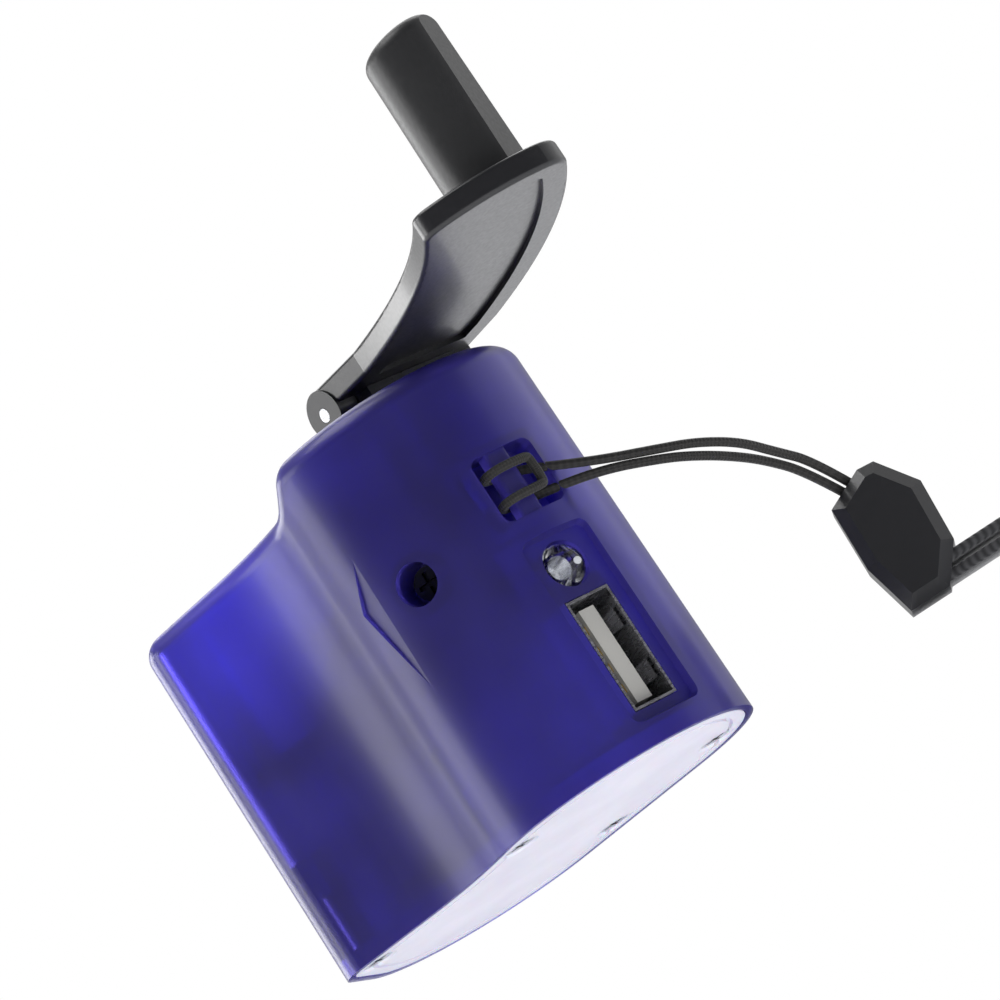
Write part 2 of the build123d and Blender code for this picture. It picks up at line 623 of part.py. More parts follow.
def pan_screw(at, under_head, length, up=1):
    """An upright screw with a flat head and a slot; up is 1 if it points upwards."""
    screw = rod(SCREW_R, 0, length) + rod(SCREW_HEAD_R, -SCREW_HEAD_T, 0)
    screw -= Pos(0, 0, -SCREW_HEAD_T) * Box(2.6, 0.5, 1.0)
    turned = screw if up == 1 else Rot(180, 0, 0) * screw
    return Pos(at[0], at[1], under_head) * turned


def make_plate_screws():
    """Four screws from below that hold the gear plate to the roof's posts."""
    screws = [pan_screw(at, PLATE_Z, PLATE_SCREW_L) for at in POSTS]
    keep("plate_screws", Compound(children=screws))


def make_generator_screws():
    """Three low screws from above that hold the generator under the plate."""
    screws = []
    for at in generator_screw_places():
        head = rod(SCREW_HEAD_R, PLATE_TOP - 0.8, PLATE_TOP, at)
        head -= Pos(at[0], at[1], PLATE_TOP) * Box(2.6, 0.5, 0.8)
        screws.append(head + rod(SCREW_R, PLATE_Z - CAN_TOP_T, PLATE_TOP - 0.8, at))
    keep("generator_screws", Compound(children=screws))


def make_axles():
    """The two fixed steel axles between the gear plate and the roof."""
    keep("axle_1", rod(AXLE_R, PLATE_Z, AXLE_TOP_1, (FIRST.X, FIRST.Y)))
    keep("axle_2", rod(AXLE_R, PLATE_Z, AXLE_TOP_2, (SECOND.X, SECOND.Y)))


def make_bushes():
    """The crank shaft's upper bush in the roof and its lower bush in the gear plate."""
    upper = rod(BUSH_R, BUSH_END, HIGH_TOP) + rod(
        BUSH_FLANGE_R, HIGH_TOP - BUSH_FLANGE_T, HIGH_TOP
    )
    keep("roof_bush", upper - rod(SHAFT_R + RUN_FIT, BUSH_END - 1, HIGH_TOP + 1))
    lower = rod(BUSH_R, PLATE_Z, PLATE_TOP) + rod(BUSH_R + 0.9, PLATE_TOP, PLATE_TOP + 1)
    keep("lower_bush", lower - rod(SHAFT_R + RUN_FIT, PLATE_Z - 1, PLATE_TOP + 2))


# ================================================================ gears
def make_gears():
    """The four gears in mesh, from the crank's shaft to the generator's."""
    first_phase = meshed_phase(DRIVE_TEETH, SHAFT, 0, PINION_TEETH, FIRST)
    second_phase = meshed_phase(FIRST_TEETH, FIRST, 0, PINION_TEETH, SECOND)
    rotor_phase = meshed_phase(SECOND_TEETH, SECOND, 0, PINION_TEETH, GENERATOR)

    drive = gear(DRIVE_TEETH, -SHIFT, 0, LEVEL_1, SHAFT)
    drive += rod(DRIVE_HUB_R, LEVEL_1, BUSH_END - THRUST_GAP)
    drive -= rod(SHAFT_R + HOLD_FIT, LEVEL_1 - 1, BUSH_END)
    drive -= cross_rod(DRIVE_PIN_R + HOLD_FIT, DRIVE_PIN_Z, 6)
    for hole in range(5):
        at = unit(72 * hole) * 6.6
        drive -= rod(1.7, LEVEL_1 - 1, GEARS_TOP + 1, (at.X, at.Y))
    keep("drive_gear", drive)

    keep("first_gear", compound_gear(FIRST_TEETH, FIRST, first_phase, LEVEL_2))
    keep("second_gear", compound_gear(SECOND_TEETH, SECOND, second_phase, LEVEL_3))

    pinion = gear(PINION_TEETH, SHIFT, rotor_phase, LEVEL_3, GENERATOR)
    pinion -= rod(ROTOR_SHAFT_R + HOLD_FIT, LEVEL_3 - 1, LEVEL_3 + GEAR_T + 1, spot_of(GENERATOR))
    keep("rotor_pinion", pinion)


def compound_gear(teeth, at, pinion_phase, bottom):
    """A wheel with a pinion above it, and short hubs that space it along its axle."""
    wheel = gear(teeth, -SHIFT, 0, bottom, at)
    pinion_z = bottom + GEAR_T + GEAR_GAP
    wheel += gear(PINION_TEETH, SHIFT, pinion_phase, pinion_z, at)
    wheel += rod(HUB_R, PLATE_TOP + THRUST_GAP, pinion_z, spot_of(at))
    wheel += rod(HUB_R, pinion_z, pinion_z + GEAR_T + GEAR_GAP - THRUST_GAP, spot_of(at))
    return wheel - rod(AXLE_R + RUN_FIT, PLATE_TOP, pinion_z + GEAR_T + 2, spot_of(at))


def spot_of(point):
    return (point.X, point.Y)


def cross_rod(radius, z, half, angle=0.0):
    """A level cylinder through the crank's axis."""
    return Pos(0, 0, z) * Rot(0, 0, angle) * Rot(0, 90, 0) * Cylinder(radius, 2 * half)


def make_shaft():
    """The crank's shaft, with the pin and the clip that hold it in place."""
    shaft = rod(SHAFT_R, SHAFT_END, SHAFT_TOP)
    clip_z = PLATE_Z - THRUST_GAP - CLIP_T
    groove = tube(SHAFT_R + 1, SHAFT_R - CLIP_GROOVE, clip_z, clip_z + CLIP_T)
    shaft -= groove
    shaft -= cross_rod(DRIVE_PIN_R + HOLD_FIT, DRIVE_PIN_Z, 6)
    shaft -= cross_rod(PIN_R + HOLD_FIT, HINGE_Z, 6, HINGE_ANGLE)
    keep("crank_shaft", shaft)
    keep("drive_pin", cross_rod(DRIVE_PIN_R, DRIVE_PIN_Z, DRIVE_HUB_R - 0.1))
    clip = tube(CLIP_R, SHAFT_R - CLIP_GROOVE, clip_z, clip_z + CLIP_T)
    clip -= Pos(CLIP_R, 0, clip_z + CLIP_T / 2) * Box(2 * CLIP_R, 2.2, 2)
    keep("shaft_clip", clip)


# ================================================================ generator
def make_generator():
    """A small permanent magnet generator hanging under the gear plate."""
    at = spot_of(GENERATOR)
    inner = CAN_R - CAN_WALL
    can = rod(CAN_R, CAN_Z, PLATE_Z, at) - rod(inner, CAN_Z - 1, PLATE_Z - CAN_TOP_T, at)
    can -= rod(ROTOR_SHAFT_R + RUN_FIT, CAN_Z, PLATE_Z + 1, at)
    for screw in generator_screw_places():
        can -= rod(SCREW_R + SCREW_FIT, PLATE_Z - CAN_TOP_T - 1, PLATE_Z + 1, screw)
    keep("generator_can", can)

    cap = rod(CAN_R, CAN_Z - END_CAP_T, CAN_Z, at)
    cap += rod(inner - HOLD_FIT, CAN_Z, CAN_Z + END_CAP_SPIGOT, at)
    cap -= rod(inner - 1.2, CAN_Z, CAN_Z + 3, at)
    cap += rod(1.9, CAN_Z, CAN_Z + 0.9, at)
    cap -= rod(ROTOR_SHAFT_R + RUN_FIT, CAN_Z - END_CAP_T + 0.5, CAN_Z + 3, at)
    for side in (-1, 1):
        cap -= brush_strip(side, 0.01)
    keep("generator_end_cap", cap)
    keep("brushes", Compound(children=[brush_strip(-1), brush_strip(1)]))

    magnets = []
    for side in (0, 180):
        low, high = ARMATURE_Z - MAGNET_OVER, ARMATURE_Z + ARMATURE_H + MAGNET_OVER
        ring = tube(inner - HOLD_FIT, inner - MAGNET_T, low, high, at)
        sector = wedge(MAGNET_SPAN, side)
        magnets.append(ring & (Pos(at[0], at[1], 0) * sector))
    keep("generator_magnets", Compound(children=magnets))

    shaft_top = LEVEL_3 + GEAR_T + 0.3
    keep("rotor_shaft", rod(ROTOR_SHAFT_R, CAN_Z - END_CAP_T + 0.6, shaft_top, at))
    make_armature(at, inner - MAGNET_T - ARMATURE_GAP)


def wedge(span, middle):
    """A tall wedge about the origin, wide enough to cut a sector out of a ring."""
    a, b = unit(middle - span / 2) * 20, unit(middle + span / 2) * 20
    c = unit(middle) * 30
    face = make_face(Polyline((0, 0), (a.X, a.Y), (c.X, c.Y), (b.X, b.Y), close=True))
    return extrude(face, amount=40)


def brush_strip(side, grow=0.0):
    """One brush: an upright strip from a terminal under the end cap to the commutator."""
    y = GENERATOR_Y + side * TERMINAL_OUT
    half_t, half_w = BRUSH_T / 2 + grow, BRUSH_W / 2 + grow
    return block(
        GENERATOR_X - half_w, GENERATOR_X + half_w, y - half_t, y + half_t,
        BRUSH_BOTTOM, BRUSH_TOP + grow,
    )


def make_armature(at, radius):
    """The three-pole armature with its coils and its commutator."""
    bottom, top = ARMATURE_Z, ARMATURE_Z + ARMATURE_H
    low, high = bottom - COIL_OVER, top + COIL_OVER
    core = rod(CORE_R, bottom, top, at)
    shoes = tube(radius, radius - SHOE_T, bottom, top, at)
    coils = tube(COIL_RING_R, CORE_R + COIL_FIT, top, high, at)
    half_w, half_t = COIL_W / 2, SPOKE_T / 2
    for turn in range(3):
        place = Pos(at[0], at[1], 0) * Rot(0, 0, 120 * turn)
        core += place * block(0, radius - SHOE_T / 2, -half_t, half_t, bottom, top)
        gap = Rot(0, 0, 60) * block(0, 2 * radius, -POLE_GAP / 2, POLE_GAP / 2, low, high)
        shoes -= place * gap
        coil = place * block(COIL_IN, COIL_OUT, -half_w, half_w, low, high)
        slot = half_t + COIL_FIT
        coils += coil - place * block(0, radius, -slot, slot, bottom - COIL_FIT, top + COIL_FIT)
    core += shoes
    core -= rod(ROTOR_SHAFT_R + HOLD_FIT, low, high, at)
    keep("armature", core)
    keep("armature_coils", coils - rod(CORE_R + COIL_FIT, low - 1, high + 1, at))
    commutator = tube(BRUSH_OUT - 0.3, ROTOR_SHAFT_R + HOLD_FIT, COMMUTATOR_Z, low - 0.1, at)
    for turn in range(3):
        place = Pos(at[0], at[1], 0) * Rot(0, 0, 120 * turn + 60)
        commutator -= place * block(BRUSH_OUT - 0.7, 5, -0.15, 0.15, 0, 40)
    keep("commutator", commutator)


# ================================================================ socket, light and board
def make_socket():
    """The USB socket's steel shell, its tongue and its contacts, flush with the pocket."""
    long, short = USB_LONG / 2, USB_SHORT / 2
    back = POCKET_FLOOR - USB_DEPTH
    shell = column_block(-short, short, USB_Z - long, USB_Z + long, back, POCKET_FLOOR)
    shell -= column_block(
        -short + USB_WALL, short - USB_WALL, USB_Z - long + USB_WALL, USB_Z + long - USB_WALL,
        back + USB_WALL, POCKET_FLOOR + 1,
    )
    keep("usb_shell", shell)
    left = -short + USB_WALL + TONGUE_SIDE
    base = back + USB_WALL
    inset = USB_WALL + TONGUE_INSET
    tongue = column_block(
        -short + inset, short - inset, USB_Z - long + inset, USB_Z + long - inset,
        base, base + TONGUE_BASE,
    )
    tongue += column_block(
        left, left + TONGUE_T, USB_Z - TONGUE_LONG / 2, USB_Z + TONGUE_LONG / 2,
        base, POCKET_FLOOR - TONGUE_BACK,
    )
    keep("usb_tongue", tongue)
    contacts = [
        column_block(
            left - CONTACT_T, left, USB_Z + z - CONTACT_W / 2, USB_Z + z + CONTACT_W / 2,
            base + TONGUE_BASE, POCKET_FLOOR - TONGUE_BACK - CONTACT_BACK,
        )
        for z in CONTACT_Z
    ]
    keep("usb_contacts", Compound(children=contacts))


def make_light():
    """The clear light over the socket, with its two leads to the board."""
    dome = LED_APEX - LED_R
    light = column_rod(LED_R, 0, LED_Z, LED_BACK, dome)
    plane = column_plane(dome)
    centre = plane.origin + plane.y_dir * LED_Z
    light += Pos(centre) * Sphere(LED_R)
    light += column_rod(LED_FLANGE_R, 0, LED_Z, LED_BACK, LED_BACK + 1)
    keep("led", light)
    leads = []
    for side, back in zip((LED_PITCH / 2, -LED_PITCH / 2), LEAD_TURNS):
        turn = LED_BACK - back
        path = FilletPolyline(
            spot(side, LED_Z, LED_BACK), spot(side, LED_Z, turn), spot(side, LEAD_Z, turn),
            spot(USB_SHORT / 2, LEAD_Z, turn), radius=LEAD_BEND,
        )
        leads.append(wire_along(path, LEAD_R))
    keep("led_leads", Compound(children=leads))


def spot(side, z, distance, angle=COLUMN_ANGLE):
    """A point in space from the socket column's own directions."""
    plane = column_plane(distance, angle)
    return plane.origin + plane.x_dir * side + Vector(0, 0, z)


def wire_along(path, radius):
    """A round wire along a path."""
    start = Plane(origin=path @ 0, z_dir=path % 0)
    return sweep(start * Circle(radius), path=path)


def make_board():
    """The upright circuit board beside the socket, with its components and wires."""
    near = USB_SHORT / 2
    far = near + BOARD_T
    board = column_block(near, far, COVER_T, BOARD_TOP, BOARD_OUT - BOARD_L, BOARD_OUT)
    keep("circuit_board", board)
    keep("capacitor", component_rod(far, *CAPACITOR))
    keep("inductor", component_rod(far, *INDUCTOR))
    keep("regulator", chip(far, REGULATOR_T, REGULATOR_Z, REGULATOR_SIZE, REGULATOR_BACK))
    diodes = [chip(far, DIODE_T, z, DIODE_SIZE, DIODE_BACK) for z in DIODE_Z]
    keep("diodes", Compound(children=diodes))
    keep("wire_red", board_wire(1, RED_WAY, RED_PAD))
    keep("wire_black", board_wire(-1, BLACK_WAY, BLACK_PAD))


def board_wire(side, way, pad):
    """A wire from one of the generator's terminals to its pad on the board."""
    z, back = pad
    near, at = USB_SHORT / 2, BOARD_OUT - back
    points = [Vector(GENERATOR_X + BRUSH_W / 2, GENERATOR_Y + side * TERMINAL_OUT, WIRE_Z)]
    points += [Vector(*point) for point in way]
    points += [spot(near - WIRE_REACH, z, at), spot(near, z, at)]
    return wire_along(FilletPolyline(*points, radius=WIRE_BEND), WIRE_R)


def chip(side, thick, z, size, back):
    """A flat component on the board's face, from its lowest corner."""
    long, tall = size
    start = BOARD_OUT - back
    return column_block(side, side + thick, z, z + tall, start, start + long)


def component_rod(side, radius, height, z, back):
    """A round component that stands off the board's face."""
    plane = column_plane(0)
    base = Plane(origin=spot(side, z, BOARD_OUT - back), z_dir=plane.x_dir)
    return extrude(base * Circle(radius), amount=height, dir=plane.x_dir)


def make_side_screw():
    """The recessed screw in the side hole, which holds the gear plate's lug."""
    inner = HOLE_FLOOR - HOLE_FLOOR_T
    screw = column_rod(SCREW_R, 0, HOLE_Z, inner - LUG_T, HOLE_FLOOR, HOLE_ANGLE)
    head = column_rod(SCREW_HEAD_R, 0, HOLE_Z, HOLE_FLOOR, HOLE_FLOOR + SCREW_HEAD_T, HOLE_ANGLE)
    for long, short in ((1.3, 0.25), (0.25, 1.3)):
        head -= column_block(
            -long, long, HOLE_Z - short, HOLE_Z + short,
            HOLE_FLOOR + 0.5, HOLE_FLOOR + 3, HOLE_ANGLE,
        )
    keep("side_screw", screw + head)


# ================================================================ crank
ALONG = unit(HINGE_ANGLE - 90)
ACROSS = unit(HINGE_ANGLE)


def arm_spot(e, t):
    """A point in plan from its places along the arm and across it."""
    at = ALONG * e + ACROSS * t
    return (at.X, at.Y)


def hinge_rod(radius, near, far):
    """A cylinder on the hinge's axis between two places along it."""
    return Pos(ACROSS * near + Vector(0, 0, HINGE_Z)) * (
        Plane(origin=(0, 0, 0), z_dir=ACROSS).location
        * Cylinder(radius, far - near, align=(Align.CENTER, Align.CENTER, Align.MIN))
    )


def arm_block(e0, e1, t0, t1, z0, z1):
    """A box in the arm's own directions."""
    return Rot(0, 0, HINGE_ANGLE - 90) * block(e0, e1, t0, t1, z0, z1)


def make_hub():
    """The crank's hub on the shaft, with the knuckle that the arm folds about."""
    hub = hinge_rod(KNUCKLE_R, KNUCKLE_NEAR, KNUCKLE_FAR)
    bottom = HIGH_TOP + THRUST_GAP
    hub += arm_block(-KNUCKLE_HALF_W, KNUCKLE_HALF_W, KNUCKLE_NEAR, KNUCKLE_FAR, bottom, HINGE_Z)
    hub += arm_block(
        0, STOP_REACH, KNUCKLE_NEAR + 0.6, KNUCKLE_FAR - 0.6, HINGE_Z - 0.05 - STOP_T, HINGE_Z - 0.05
    )
    hub -= rod(SHAFT_R + HOLD_FIT, bottom - 1, SHAFT_TOP + 0.1)
    hub -= hinge_rod(PIN_R + HOLD_FIT, KNUCKLE_NEAR - 1, KNUCKLE_FAR + 1)
    keep("crank_hub", hub)
    near, far = KNUCKLE_NEAR - EAR_GAP - EAR_T, KNUCKLE_FAR + EAR_GAP + EAR_T
    keep("hinge_pin", hinge_rod(PIN_R, near, far))


def arm_outline():
    """The arm's outline in its own directions, from the fork's root to the round tip."""
    near_t = KNUCKLE_NEAR - EAR_GAP - EAR_T
    far_t = KNUCKLE_FAR + EAR_GAP + EAR_T
    edges = [
        Line((0, near_t), ARM_NEAR[0]),
        ThreePointArc(*ARM_NEAR),
        ThreePointArc(*ARM_TIP),
        ThreePointArc(*ARM_FAR),
        Line(ARM_FAR[2], (0, far_t)),
        Line((0, far_t), (0, near_t)),
    ]
    face = make_face(Wire(edges))
    corners = face.vertices()
    near_tip = corners.sort_by_distance((*ARM_TIP[0], 0))[0]
    face = fillet(near_tip, 2.2)
    far_tip = face.vertices().sort_by_distance((*ARM_TIP[2], 0))[0]
    return fillet(far_tip, 4.0)


def make_arm():
    """The flat curved arm with its two ears and the shallow recess under it."""
    outline = arm_outline()
    turn = Rot(0, 0, HINGE_ANGLE - 90)
    plate = extrude(outline, amount=ARM_T)
    rim = plate.edges().filter_by(lambda e: e.center().X > 1.0 and abs(e.tangent_at(0.5).Z) < 0.1)
    plate = fillet(rim, ARM_EDGE_R)
    recess = extrude(offset(outline, -ARM_RIM, kind=Kind.INTERSECTION), amount=ARM_RECESS)
    recess &= block(ARM_RECESS_START, 80, -60, 60, -1, ARM_T)
    plate -= recess
    arm = Pos(0, 0, HINGE_Z) * turn * plate
    near_in, far_in = KNUCKLE_NEAR - EAR_GAP, KNUCKLE_FAR + EAR_GAP
    arm -= arm_block(-5, ARM_ROOT, near_in, far_in, HINGE_Z - 1, HINGE_Z + 5)
    for t0, t1 in ((near_in - EAR_T, near_in), (far_in, far_in + EAR_T)):
        arm += hinge_rod(KNUCKLE_R, t0, t1)
        arm -= hinge_rod(PIN_R + RUN_FIT, t0 - 1, t1 + 1)
    x, y = arm_spot(GRIP_E, GRIP_T)
    top = HINGE_Z + ARM_T
    arm -= rod(GRIP_AXLE_R + HOLD_FIT, top - GRIP_AXLE_DEPTH, top + 1, (x, y))
    keep("crank_arm", arm)


def make_grip():
    """The round grip that spins on a headed axle, with a cap over the axle's head."""
    at = arm_spot(GRIP_E, GRIP_T)
    bottom = HINGE_Z + ARM_T + GRIP_GAP
    top = bottom + GRIP_LENGTH
    head_z = top - GRIP_HEAD_DROP
    longer = GRIP_LENGTH + 2 * GRIP_R * math.tan(math.radians(GRIP_END_SLOPE))
    grip = Pos(at[0], at[1], bottom) * Cone(
        GRIP_R, GRIP_TIP_R, longer, align=(Align.CENTER, Align.CENTER, Align.MIN)
    )
    turned = Pos(at[0], at[1], 0) * Rot(0, 0, GRIP_FLAT_ANGLE)
    slope = Pos(GRIP_FLAT, 0, top) * Rot(0, -GRIP_END_SLOPE, 0)
    beyond = turned * slope * block(-20, 20, -9, 9, 0, 9)
    grip -= beyond
    grip = fillet(grip.edges().sort_by(Axis.Z)[-1], GRIP_END_R)
    grip -= turned * block(GRIP_FLAT, 10, -10, 10, bottom - 1, top + 3)
    recess_r = GRIP_HEAD_R + 0.4
    grip -= rod(GRIP_AXLE_R + RUN_FIT, bottom - 1, top + 1, at)
    grip -= rod(recess_r, head_z - 0.1, top + 1, at)
    grip -= rod(GRIP_CAP_R + HOLD_FIT, top - GRIP_CAP_T, top + 1, at)
    keep("grip", grip)
    keep("grip_cap", rod(GRIP_CAP_R, top - GRIP_CAP_T, top, at) - beyond)
    axle = rod(GRIP_AXLE_R, HINGE_Z + ARM_T - GRIP_AXLE_DEPTH, head_z, at)
    axle += rod(GRIP_HEAD_R, head_z, head_z + GRIP_HEAD_T, at)
    keep("grip_axle", axle)


# ================================================================ lanyard
def corner_radii(points):
    """The bend at each inner point: as wide as the shorter run beside it allows."""
    radii = []
    for before, here, after in zip(points, points[1:], points[2:]):
        turn = (here - before).get_angle(after - here)
        run = min((here - before).length, (after - here).length)
        radii.append(0.45 * run / math.tan(math.radians(turn / 2)))
    return radii


def cord_along(points, name):
    """A cord of straight runs joined by arcs, with its bends printed."""
    radii = corner_radii(points)
    path = FilletPolyline(*points, radius=radii)
    cord = wire_along(path, CORD_D / 2)
    section = math.pi * CORD_D**2 / 4
    print(name, "bends", [round(r, 1) for r in radii], "length", round(path.length, 1),
          "volume", round(cord.volume, 2), "wanted", round(section * path.length, 2))
    return cord


def hitch_turn(z):
    """One turn of the cord round the window's bar."""
    gap = CORD_FIT + CORD_D / 2
    plane = Plane(
        origin=spot((BAR_LEFT + BAR_RIGHT) / 2, z, (BAR_IN + BAR_OUT) / 2),
        x_dir=column_plane(0).x_dir, z_dir=(0, 0, 1),
    )
    wide, deep = BAR_RIGHT - BAR_LEFT + 2 * gap, BAR_OUT - BAR_IN + 2 * gap
    ring = (plane * RectangleRounded(wide, deep, 0.95)).wire()
    start = Plane(origin=ring @ 0, z_dir=ring % 0)
    return sweep(start * Circle(CORD_D / 2), path=ring)


def make_lanyard():
    """The doubled cord that is hitched to the window's bar, with its end piece and strap."""
    low, high = WINDOW_Z - HITCH_RISE / 2, WINDOW_Z + HITCH_RISE / 2
    side = BAR_RIGHT + CORD_FIT + CORD_D / 2
    front = BAR_OUT + CORD_FIT + CORD_D / 2
    cross = [spot(side, low, front - 1.0), spot(side + 0.4, low + 0.3, front - 0.2),
             spot(side + 0.4, high - 0.3, front - 0.2), spot(side, high, front - 1.0)]
    cord = hitch_turn(low) + hitch_turn(high)
    cord += wire_along(FilletPolyline(*cross, radius=0.45), CORD_D / 2)
    upper = [spot(side + 0.2, WINDOW_Z + 0.3, front - 0.6)] + [Vector(*p) for p in UPPER_STRAND]
    lower = [spot(side + 0.2, WINDOW_Z - 0.8, front - 0.6)] + [Vector(*p) for p in LOWER_STRAND]
    cord += cord_along(upper, "upper strand")
    cord += cord_along(lower, "lower strand")
    keep("lanyard_cord", cord)

    plane = Plane(origin=(*CAP_AT, 0), x_dir=(*CAP_ALONG, 0), z_dir=(CAP_ALONG[1], -CAP_ALONG[0], 0))
    outline = make_face(Polyline(*CAP_OUTLINE, close=True))
    cap = extrude(plane * outline, amount=CAP_T / 2, both=True)
    faces = cap.faces().filter_by(lambda f: abs(f.normal_at().dot(plane.z_dir)) > 0.99)
    cap = chamfer([e for f in faces for e in f.edges()], CAP_BEVEL)
    for strand in (upper, lower):
        way = (strand[-1] - strand[-2]).normalized()
        start = Plane(origin=strand[-1] - way * 4.5, z_dir=way)
        cap -= extrude(start * Circle(CORD_D / 2 + CORD_FIT), amount=4.5, dir=way)
    slot = plane * Pos((STRAP_START + 60) / 2, STRAP_BOTTOM + STRAP_H / 2)
    long = 60 - STRAP_START
    cap -= extrude(slot * Rectangle(long, STRAP_H + 0.1), amount=STRAP_W / 2 + 0.05, both=True)
    keep("lanyard_cap", cap)

    middle = (STRAP_START + STRAP_END) / 2
    outer = SlotOverall(STRAP_END - STRAP_START + STRAP_H, STRAP_H)
    inner = SlotOverall(STRAP_END - STRAP_START + STRAP_H - 2 * STRAP_T, STRAP_H - 2 * STRAP_T)
    loop = Pos(middle, STRAP_BOTTOM + STRAP_H / 2) * (outer - inner)
    loop &= Pos(STRAP_START, 0) * Rectangle(
        STRAP_END, 4 * STRAP_H, align=(Align.MIN, Align.CENTER)
    )
    keep("wrist_strap", extrude(plane * loop, amount=STRAP_W / 2, both=True))


def main():
    make_housing()
    make_cover()
    screws = [countersunk_screw(at) for at in COVER_SCREWS]
    keep("cover_screws", Compound(children=screws))
    make_gear_plate()
    make_plate_screws()
    make_axles()
    make_bushes()
    make_gears()
    make_shaft()
    make_generator()
    make_generator_screws()
    make_socket()
    make_light()
    make_board()
    make_side_screw()
    make_hub()
    make_arm()
    make_grip()
    make_lanyard()
    os.makedirs("parts", exist_ok=True)
    for name, shape in parts.items():
        export_step(shape, f"parts/{name}.step")
        print(name, len(shape.solids()), round(shape.volume, 2), shape.is_valid)


main()
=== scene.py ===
"""Dresses the hand crank charger and sets it in a plain pale studio.

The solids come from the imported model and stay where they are. This file gives each of them
its finish, adds the small parts that only show close up, and lays the lanyard.
All lengths are metres unless a name ends in _mm.
"""

import logging
import math
from dataclasses import dataclass, field
from enum import Enum
from typing import Sequence

import bmesh
import bpy
from mathutils import Matrix, Vector

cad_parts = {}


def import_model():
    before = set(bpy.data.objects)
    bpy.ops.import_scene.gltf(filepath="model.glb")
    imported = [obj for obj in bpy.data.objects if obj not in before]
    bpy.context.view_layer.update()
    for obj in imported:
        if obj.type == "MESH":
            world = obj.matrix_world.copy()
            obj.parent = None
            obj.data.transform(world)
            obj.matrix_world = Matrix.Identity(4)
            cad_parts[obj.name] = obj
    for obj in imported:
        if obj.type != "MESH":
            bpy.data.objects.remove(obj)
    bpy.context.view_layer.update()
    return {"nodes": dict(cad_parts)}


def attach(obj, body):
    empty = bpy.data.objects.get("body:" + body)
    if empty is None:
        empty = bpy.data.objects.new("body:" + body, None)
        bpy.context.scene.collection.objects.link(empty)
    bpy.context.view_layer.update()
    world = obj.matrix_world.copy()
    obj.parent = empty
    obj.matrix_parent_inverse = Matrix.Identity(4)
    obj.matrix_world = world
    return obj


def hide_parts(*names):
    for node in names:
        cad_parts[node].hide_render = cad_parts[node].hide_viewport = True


MM = 0.001
NOISE_ROUGHNESS = 0.55      # how strong the finer layers of every noise are
WAVE_PERIOD = 0.31          # the repeat of a wave pattern of scale 1, in metres
LOG = logging.getLogger("charger")

Point = tuple[float, float, float]
Colour = tuple[float, float, float]


